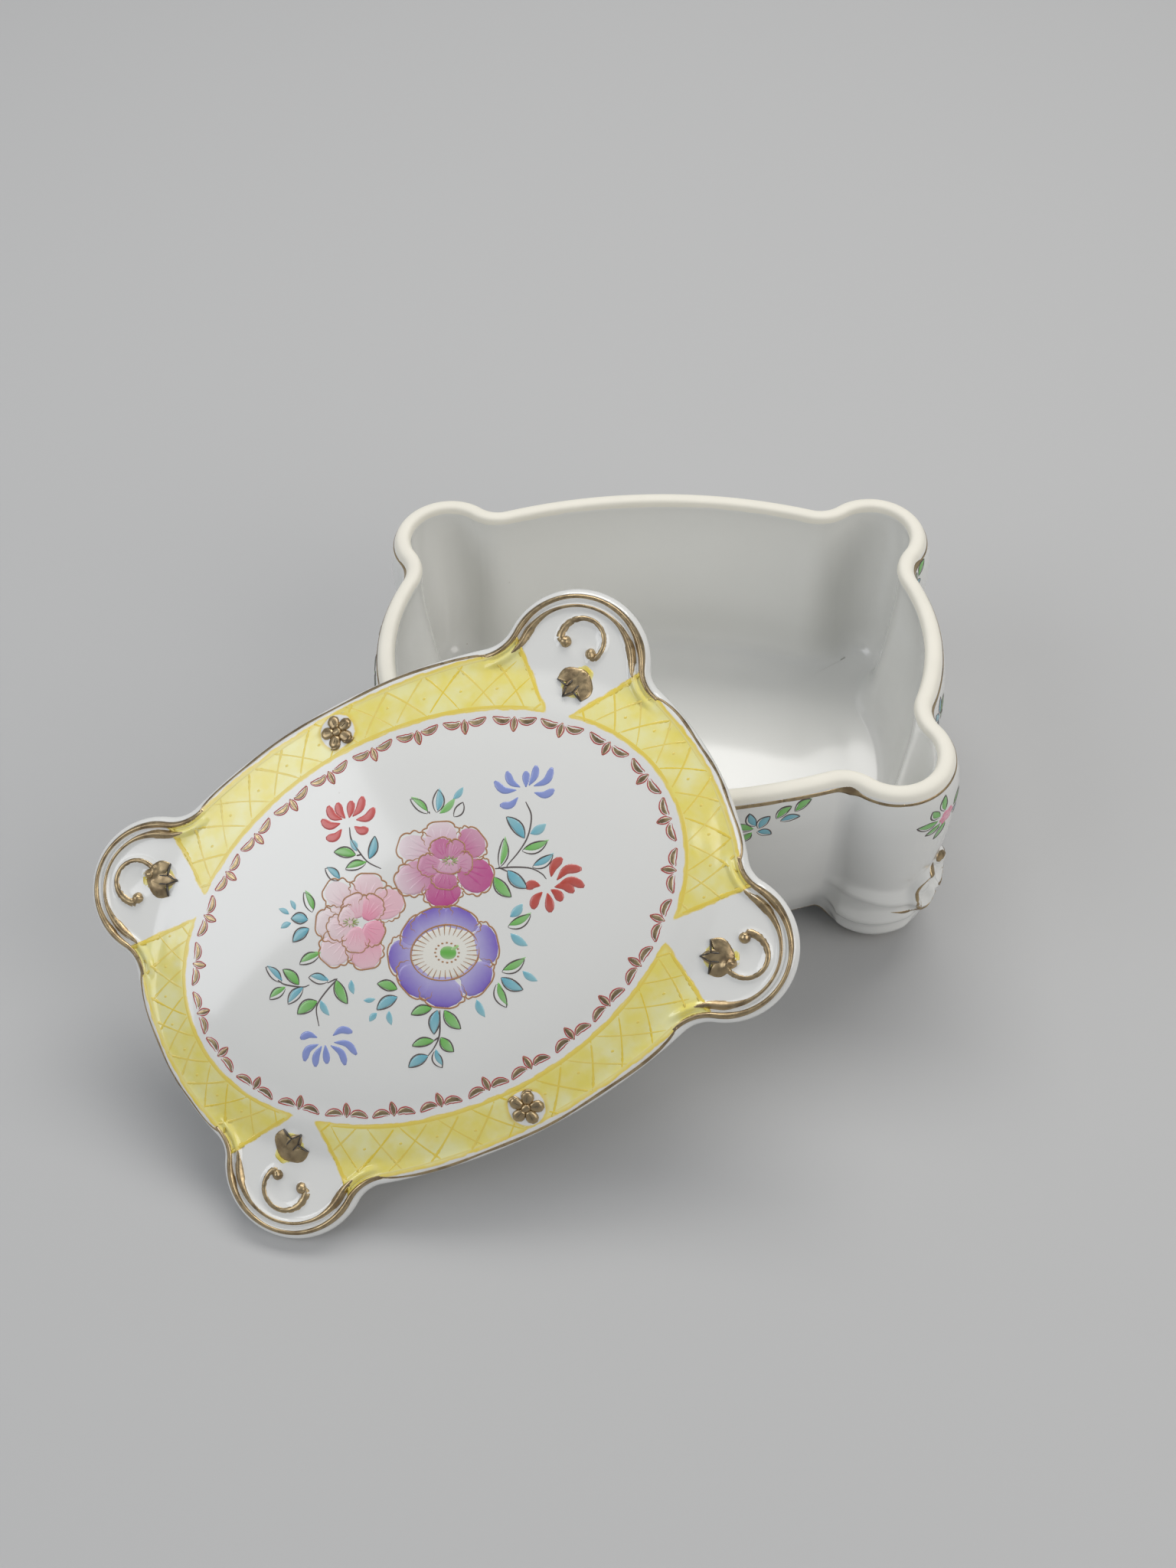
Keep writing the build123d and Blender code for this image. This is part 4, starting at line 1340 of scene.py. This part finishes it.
# Leaves of a spray, in millimetres: stem end, tip, half width and colour.
SPRIG = (((0.0, 0.0), (-3.0, 1.6), 0.85, "green"), ((0.3, 0.6), (-0.6, 3.4), 0.8, "turquoise"),
         ((0.8, 0.0), (2.6, 2.3), 0.85, "turquoise"), ((0.6, -0.8), (2.9, -1.9), 0.8, "turquoise"),
         ((-0.3, -0.8), (-2.4, -2.8), 0.8, "green"), ((3.6, 1.6), (6.0, 3.6), 0.75, "green"),
         ((4.3, 0.9), (7.4, 1.2), 0.7, "turquoise"), ((6.6, 2.4), (9.2, 4.2), 0.75, "green"))
EAR_SPRIG = (((-1.2, 0.6), (-4.4, 0.9), 0.8, "green"), ((-0.9, 1.4), (-2.2, 3.4), 0.75, "green"),
             ((-0.6, -0.4), (-2.9, -1.6), 0.7, "green"), ((0.0, 2.0), (0.2, 5.0), 0.75, "green"),
             ((0.4, -0.9), (-1.2, -3.8), 0.75, "green"), ((2.4, 0.8), (4.8, 1.9), 0.75, "green"),
             ((2.2, -0.4), (4.2, -2.2), 0.7, "turquoise"))


def box_sprays(paints):
    """Sprays on the four walls under the rim, and a pink flower on each ear."""
    washes, lines = [], []
    for turn, facing in SPRIG_PLACES:
        new_washes, new_lines = spray(outline_distance(turn), SPRIG_HEIGHT, facing, 1.12, SPRIG, paints)
        washes += new_washes
        lines += new_lines
    for quarter, facing in EAR_SPRIG_PLACES:
        distance, height = outline_distance(quarter), EAR_SPRIG_HEIGHT
        new_washes, new_lines = spray(distance, height, facing, 1.2, EAR_SPRIG, paints)
        washes += new_washes
        lines += new_lines
        for number in range(6):
            turn = 2 * pi * number / 6
            start = np.array((distance + facing * 0.9, height + 0.3))
            tip = start + np.array((cos(turn), sin(turn))) * 1.9
            washes.append(Stroke((start, tip), scaled((0.4, 0.8, 1.0, 0.9, 0.4), 0.85),
                                 blend_colour(paints["pink"], (0.9, 0.7, 0.75), 0.35), paints["pink"],
                                 lift=0.07,
                                 steps=(8, 4)))
            lines.append(Stroke((start + (tip - start) * 0.4, tip), (0.05, 0.07, 0.03),
                                paints["outline_gold"],
                                lift=0.1, steps=(5, 2)))
    return washes, lines


GILT_LENGTHS = 16                       # lengths of stroke that make up a line round the box
GILT_HEIGHT = 46.25
GILT_ABOVE_EDGE = 0.9


def box_gold_strokes(half, lift):
    """Gilt lines of the box: under the rim, along the lower edge, and on the curls of its feet."""
    touches = []
    outline = BOX_FINE
    total = outline.along[-1]
    wobble = random.Random(13)
    for number in range(GILT_LENGTHS):
        share = np.linspace(number / GILT_LENGTHS, (number + 1) / GILT_LENGTHS, 60)
        height = GILT_HEIGHT + 0.12 * np.sin(share * 2 * pi * 9)
        ear = outline.at(share * total)[2]
        swell = 1 + 2.2 * np.exp(-((ear - 0.4) / 0.3) ** 2)
        touches.append(Stroke(np.stack((share * total, height), 1), half * 0.85 * swell[::5], WHITE,
                              lift=lift,
                              steps=(48, 4)))
        point, _, _ = outline.at(share * total, UNDER_INSET)
        low = lower_edge(point[:, 0], point[:, 1]) + GILT_ABOVE_EDGE
        widths = [half * wobble.uniform(0.5, 0.9) for _ in range(9)]
        touches.append(Stroke(np.stack((share * total, low), 1), widths, WHITE, lift=lift, steps=(48, 4)))
    line = foot_curl_line()
    degree = pi / 180 * BOX[6]
    for signs in EARS:
        toe = toe_distance(signs)
        for facing in (1, -1):
            place = lambda part: np.array(part) * (facing * degree, 1) + (toe, 0)
            touches.append(Stroke(place(line[4:]), scaled((0.5, 0.8, 0.9, 0.85, 0.6, 0.4), half * 1.1), WHITE,
                                  lift=lift, steps=(30, 4)))
            touches.append(Stroke(place(((16, 20.4), (12, 21.0), (7, 21.3), (3, 20.6))),
                                  scaled((0.2, 0.8, 1.0, 0.9, 0.3), 0.8), WHITE, lift=0.2, steps=(12, 6)))
            touches.append(Stroke(place(((52, 13.2), (36, 12.8), (20, 13.4))), (0.1, 0.28, 0.32, 0.12), WHITE,
                                  lift=lift, steps=(16, 3)))
    return touches


def toe_distance(signs):
    """The distance round the outline to where a foot's toe points."""
    toe = radians(FOOT_TOE)
    spot = (BOX[4] + BOX[6] * cos(toe), BOX[5] + BOX[6] * sin(toe)) * np.array(signs)
    return BOX_FINE.along[np.hypot(*(BOX_FINE.points - spot).T).argmin()]


# ---- operators ---------------------------------------------------------------------------------
def enamel_paints(context):
    """The enamel colours as plain tuples, by name."""
    looks = context.scene.trinket_enamel
    names = ("green", "turquoise", "red", "vermilion", "blue", "magenta", "pink", "purple", "outline",
             "outline_gold")
    return {name: tuple(getattr(looks, name)) for name in names}


def stand_for(piece, material, node_name, body):
    """Gives a casting its material and its body, and hides the CAD node that it stands for."""
    piece.data.materials.append(material)
    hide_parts(node_name)
    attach(piece, body)


def paint_lid(name, strokes, material):
    """Lays strokes on the lid as one piece that rides with it."""
    lay(name, strokes, on_lid, bpy.data.materials[material], "cover")


def paint_box(name, strokes, material):
    """Lays strokes on the box as one piece that rides with it."""
    lay(name, strokes, on_box, bpy.data.materials[material], "box")


class TRINKET_OT_materials(bpy.types.Operator):
    """Makes the glazes, the gilding and the enamels"""
    bl_idname = "trinket.materials"
    bl_label = "Materials"

    def execute(self, context):
        kiln_speck_group()
        brush_group()
        glaze = context.scene.trinket_glaze
        body_glaze_material(glaze)
        lid_glaze_material(glaze)
        gilding_material(context.scene.trinket_gilding)
        enamel_material("wash_enamel", 0.14, 0.22)
        enamel_material("line_enamel", 0.1, 0.3)
        return {"FINISHED"}


class TRINKET_OT_box(bpy.types.Operator):
    """Makes the box casting with its feet, matt rim and glazed inside"""
    bl_idname = "trinket.box"
    bl_label = "Box"

    def execute(self, context):
        stand_for(box_casting(), bpy.data.materials["white_glaze"], "box_body", "box")
        return {"FINISHED"}


class TRINKET_OT_lid(bpy.types.Operator):
    """Makes the lid casting with its dome, band, ears and flange"""
    bl_idname = "trinket.lid"
    bl_label = "Lid"

    def execute(self, context):
        stand_for(lid_casting(), bpy.data.materials["painted_glaze"], "lid", "cover")
        return {"FINISHED"}


class TRINKET_OT_lid_gilding(bpy.types.Operator):
    """Lays the gilt lines, curls, bellflowers and bosses on the lid"""
    bl_idname = "trinket.lid_gilding"
    bl_label = "Lid gilding"

    def execute(self, context):
        looks = context.scene.trinket_gilding
        paint_lid("lid_gilt_lines", lid_gold_strokes(looks.line, looks.raise_by), "gilding")
        lobes, veins, halo = bell_strokes(0.22)
        paint_lid("bellflowers", lobes, "gilding")
        paint_lid("bellflower_veins", veins, "line_enamel")
        paint_lid("bellflower_halos", halo, "wash_enamel")
        petals, veins = boss_strokes(0.55)
        paint_lid("flower_bosses", petals, "gilding")
        paint_lid("flower_boss_veins", veins, "line_enamel")
        return {"FINISHED"}


class TRINKET_OT_garland(bpy.types.Operator):
    """Lays the garland of gilt crescents with red outlines round the dome"""
    bl_idname = "trinket.garland"
    bl_label = "Garland"

    def execute(self, context):
        fills, lines = garland_strokes(GARLAND_RED)
        paint_lid("garland_gold", fills, "gilding")
        paint_lid("garland_outlines", lines, "line_enamel")
        return {"FINISHED"}


class TRINKET_OT_trellis(bpy.types.Operator):
    """Lays the brushed criss-cross on the yellow band"""
    bl_idname = "trinket.trellis"
    bl_label = "Trellis"

    def execute(self, context):
        paint_lid("trellis", trellis_strokes(tuple(context.scene.trinket_glaze.wash_deep)), "wash_enamel")
        return {"FINISHED"}


class TRINKET_OT_bouquet(bpy.types.Operator):
    """Lays the painted bouquet on the dome"""
    bl_idname = "trinket.bouquet"
    bl_label = "Bouquet"

    def execute(self, context):
        paints = enamel_paints(context)
        wobble = random.Random(2)
        for eye, tips, width, colour in ASTERS:
            paint_lid(f"aster_{colour}_{'upper' if eye[1] < 8 else 'lower'}",
                aster_strokes(eye, tips, width, paints[colour]), "wash_enamel")
        for name, petals, colour, pale in (("lower_peony", LOWER_PEONY, "pink", (0.80, 0.70, 0.70)),
                                           ("upper_peony", UPPER_PEONY, "magenta", (0.80, 0.70, 0.72))):
            washes, lines = painted_flower(petals, paints[colour], pale, paints["outline_gold"], wobble)
            paint_lid(name, washes, "wash_enamel")
            paint_lid(f"{name}_outlines", lines, "line_enamel")
        washes, lines = anemone_strokes(paints)
        paint_lid("anemone", washes, "wash_enamel")
        paint_lid("anemone_outlines", lines, "line_enamel")
        paint_lid("upper_peony_stamens", stamen_strokes((8.95, 5.4)), "line_enamel")
        paint_lid("lower_peony_stamens", stamen_strokes((4.4, 8.2)), "line_enamel")
        washes, lines = leaf_strokes(paints, wobble)
        paint_lid("leaves", washes, "wash_enamel")
        paint_lid("leaf_outlines", lines, "line_enamel")
        stems = [Stroke(drawn(line), (0.12, 0.16, 0.15, 0.13, 0.1), paints["outline"], lift=0.08,
                        steps=(24, 3))
                 for line in STEMS]
        paint_lid("stems", stems, "line_enamel")
        return {"FINISHED"}


class TRINKET_OT_box_paint(bpy.types.Operator):
    """Lays the gilt lines and the small sprays on the box"""
    bl_idname = "trinket.box_paint"
    bl_label = "Box paint"

    def execute(self, context):
        paints = enamel_paints(context)
        looks = context.scene.trinket_gilding
        paint_box("box_gilt_lines", box_gold_strokes(looks.line, looks.raise_by), "gilding")
        washes, lines = box_sprays(paints)
        paint_box("box_sprays", washes, "wash_enamel")
        paint_box("box_spray_outlines", lines, "line_enamel")
        return {"FINISHED"}


class TRINKET_OT_stage(bpy.types.Operator):
    """Lays the floor, lights it and sets the camera"""
    bl_idname = "trinket.stage"
    bl_label = "Stage"

    def execute(self, context):
        looks = context.scene.trinket_studio
        none_selected()
        bpy.ops.mesh.primitive_plane_add(size=40, location=(0, 0, 0))
        floor = named("floor")
        _, shader = new_material("studio_floor")
        feed(shader, Base_Color=(*looks.floor, 1), Roughness=0.7)
        floor.data.materials.append(bpy.data.materials["studio_floor"])
        world = bpy.data.worlds.new("studio")
        world.use_nodes = True
        feed(world.node_tree.nodes["Background"], Color=(0.80, 0.83, 0.88, 1), Strength=0.37)
        context.scene.world = world
        for name, place, aim, size, power, colour in LAMPS:
            none_selected()
            bpy.ops.object.light_add(type="AREA", location=place)
            lamp = bpy.context.object
            lamp.name = lamp.data.name = name
            lamp.data.shape = "RECTANGLE"
            lamp.data.size, lamp.data.size_y = size
            lamp.data.energy, lamp.data.color = power, colour
            way = Vector(aim) - Vector(place)
            lamp.rotation_euler = way.to_track_quat("-Z", "Y").to_euler()
        bpy.ops.object.camera_add(location=CAMERA_PLACE)
        camera = bpy.context.object
        turn = Matrix((CAMERA_RIGHT, CAMERA_UP, -CAMERA_FORWARD)).transposed()
        camera.matrix_world = Matrix.Translation(CAMERA_PLACE) @ turn.to_4x4()
        camera.data.lens, camera.data.sensor_width, camera.data.sensor_fit = looks.lens, 36, "HORIZONTAL"
        camera.data.clip_start, camera.data.clip_end = 0.01, 60
        context.scene.camera = camera
        context.scene.view_settings.view_transform = "Standard"
        return {"FINISHED"}


CAMERA_PLACE = BOX_MIDDLE + Vector((0.67, -203.21, 270.26)) * MM
CAMERA_RIGHT = Vector((0.99896, 0.03018, -0.03426))
CAMERA_UP = Vector((-0.00337, 0.79706, 0.60389))
CAMERA_FORWARD = Vector((-0.04554, 0.60314, -0.79633))
# name, place, aim, size, power, colour
LAMPS = (
    ("overhead_strip", (0.10, 0.42, 0.72), (0.0, 0.0, 0.03), (0.8, 0.3), 3.4, (1.0, 0.985, 0.96)),
    ("left_soft", (-0.7, -0.25, 0.6), (0.0, 0.0, 0.02), (0.6, 0.6), 2.4, (0.95, 0.97, 1.0)),
    ("right_soft", (0.6, -0.35, 0.5), (0.0, 0.0, 0.02), (0.45, 0.6), 2.0, (1.0, 0.97, 0.93)),
)


class TRINKET_PT_panel(bpy.types.Panel):
    """Lists the steps that make the trinket box"""
    bl_idname = "TRINKET_PT_panel"
    bl_label = "Trinket Box"
    bl_space_type = "VIEW_3D"
    bl_region_type = "UI"
    bl_category = "Trinket Box"

    def draw(self, context):
        column = self.layout.column()
        for step in STEPS:
            column.operator(step.bl_idname)
        for settings in (context.scene.trinket_glaze, context.scene.trinket_gilding,
                         context.scene.trinket_enamel,
                         context.scene.trinket_studio):
            for name in settings.__annotations__:
                column.prop(settings, name)


STEPS = (TRINKET_OT_materials, TRINKET_OT_box, TRINKET_OT_lid, TRINKET_OT_lid_gilding, TRINKET_OT_garland,
         TRINKET_OT_trellis, TRINKET_OT_bouquet, TRINKET_OT_box_paint, TRINKET_OT_stage)
SETTINGS = {"trinket_glaze": GlazeSettings, "trinket_gilding": GildingSettings,
            "trinket_enamel": EnamelSettings,
            "trinket_studio": StudioSettings}


def register():
    """Registers the settings, the steps and the panel."""
    for name, kind in SETTINGS.items():
        bpy.utils.register_class(kind)
        setattr(bpy.types.Scene, name, bpy.props.PointerProperty(type=kind))
    for kind in (*STEPS, TRINKET_PT_panel):
        bpy.utils.register_class(kind)


def unregister():
    """Removes what register added."""
    for kind in reversed((*STEPS, TRINKET_PT_panel)):
        bpy.utils.unregister_class(kind)
    for name, kind in SETTINGS.items():
        delattr(bpy.types.Scene, name)
        bpy.utils.unregister_class(kind)


def main():
    """Makes everything in order."""
    register()
    none_selected()
    for step in STEPS:
        category, name = step.bl_idname.split(".")
        getattr(getattr(bpy.ops, category), name)()
    none_selected()


if __name__ == "__main__":
    main()
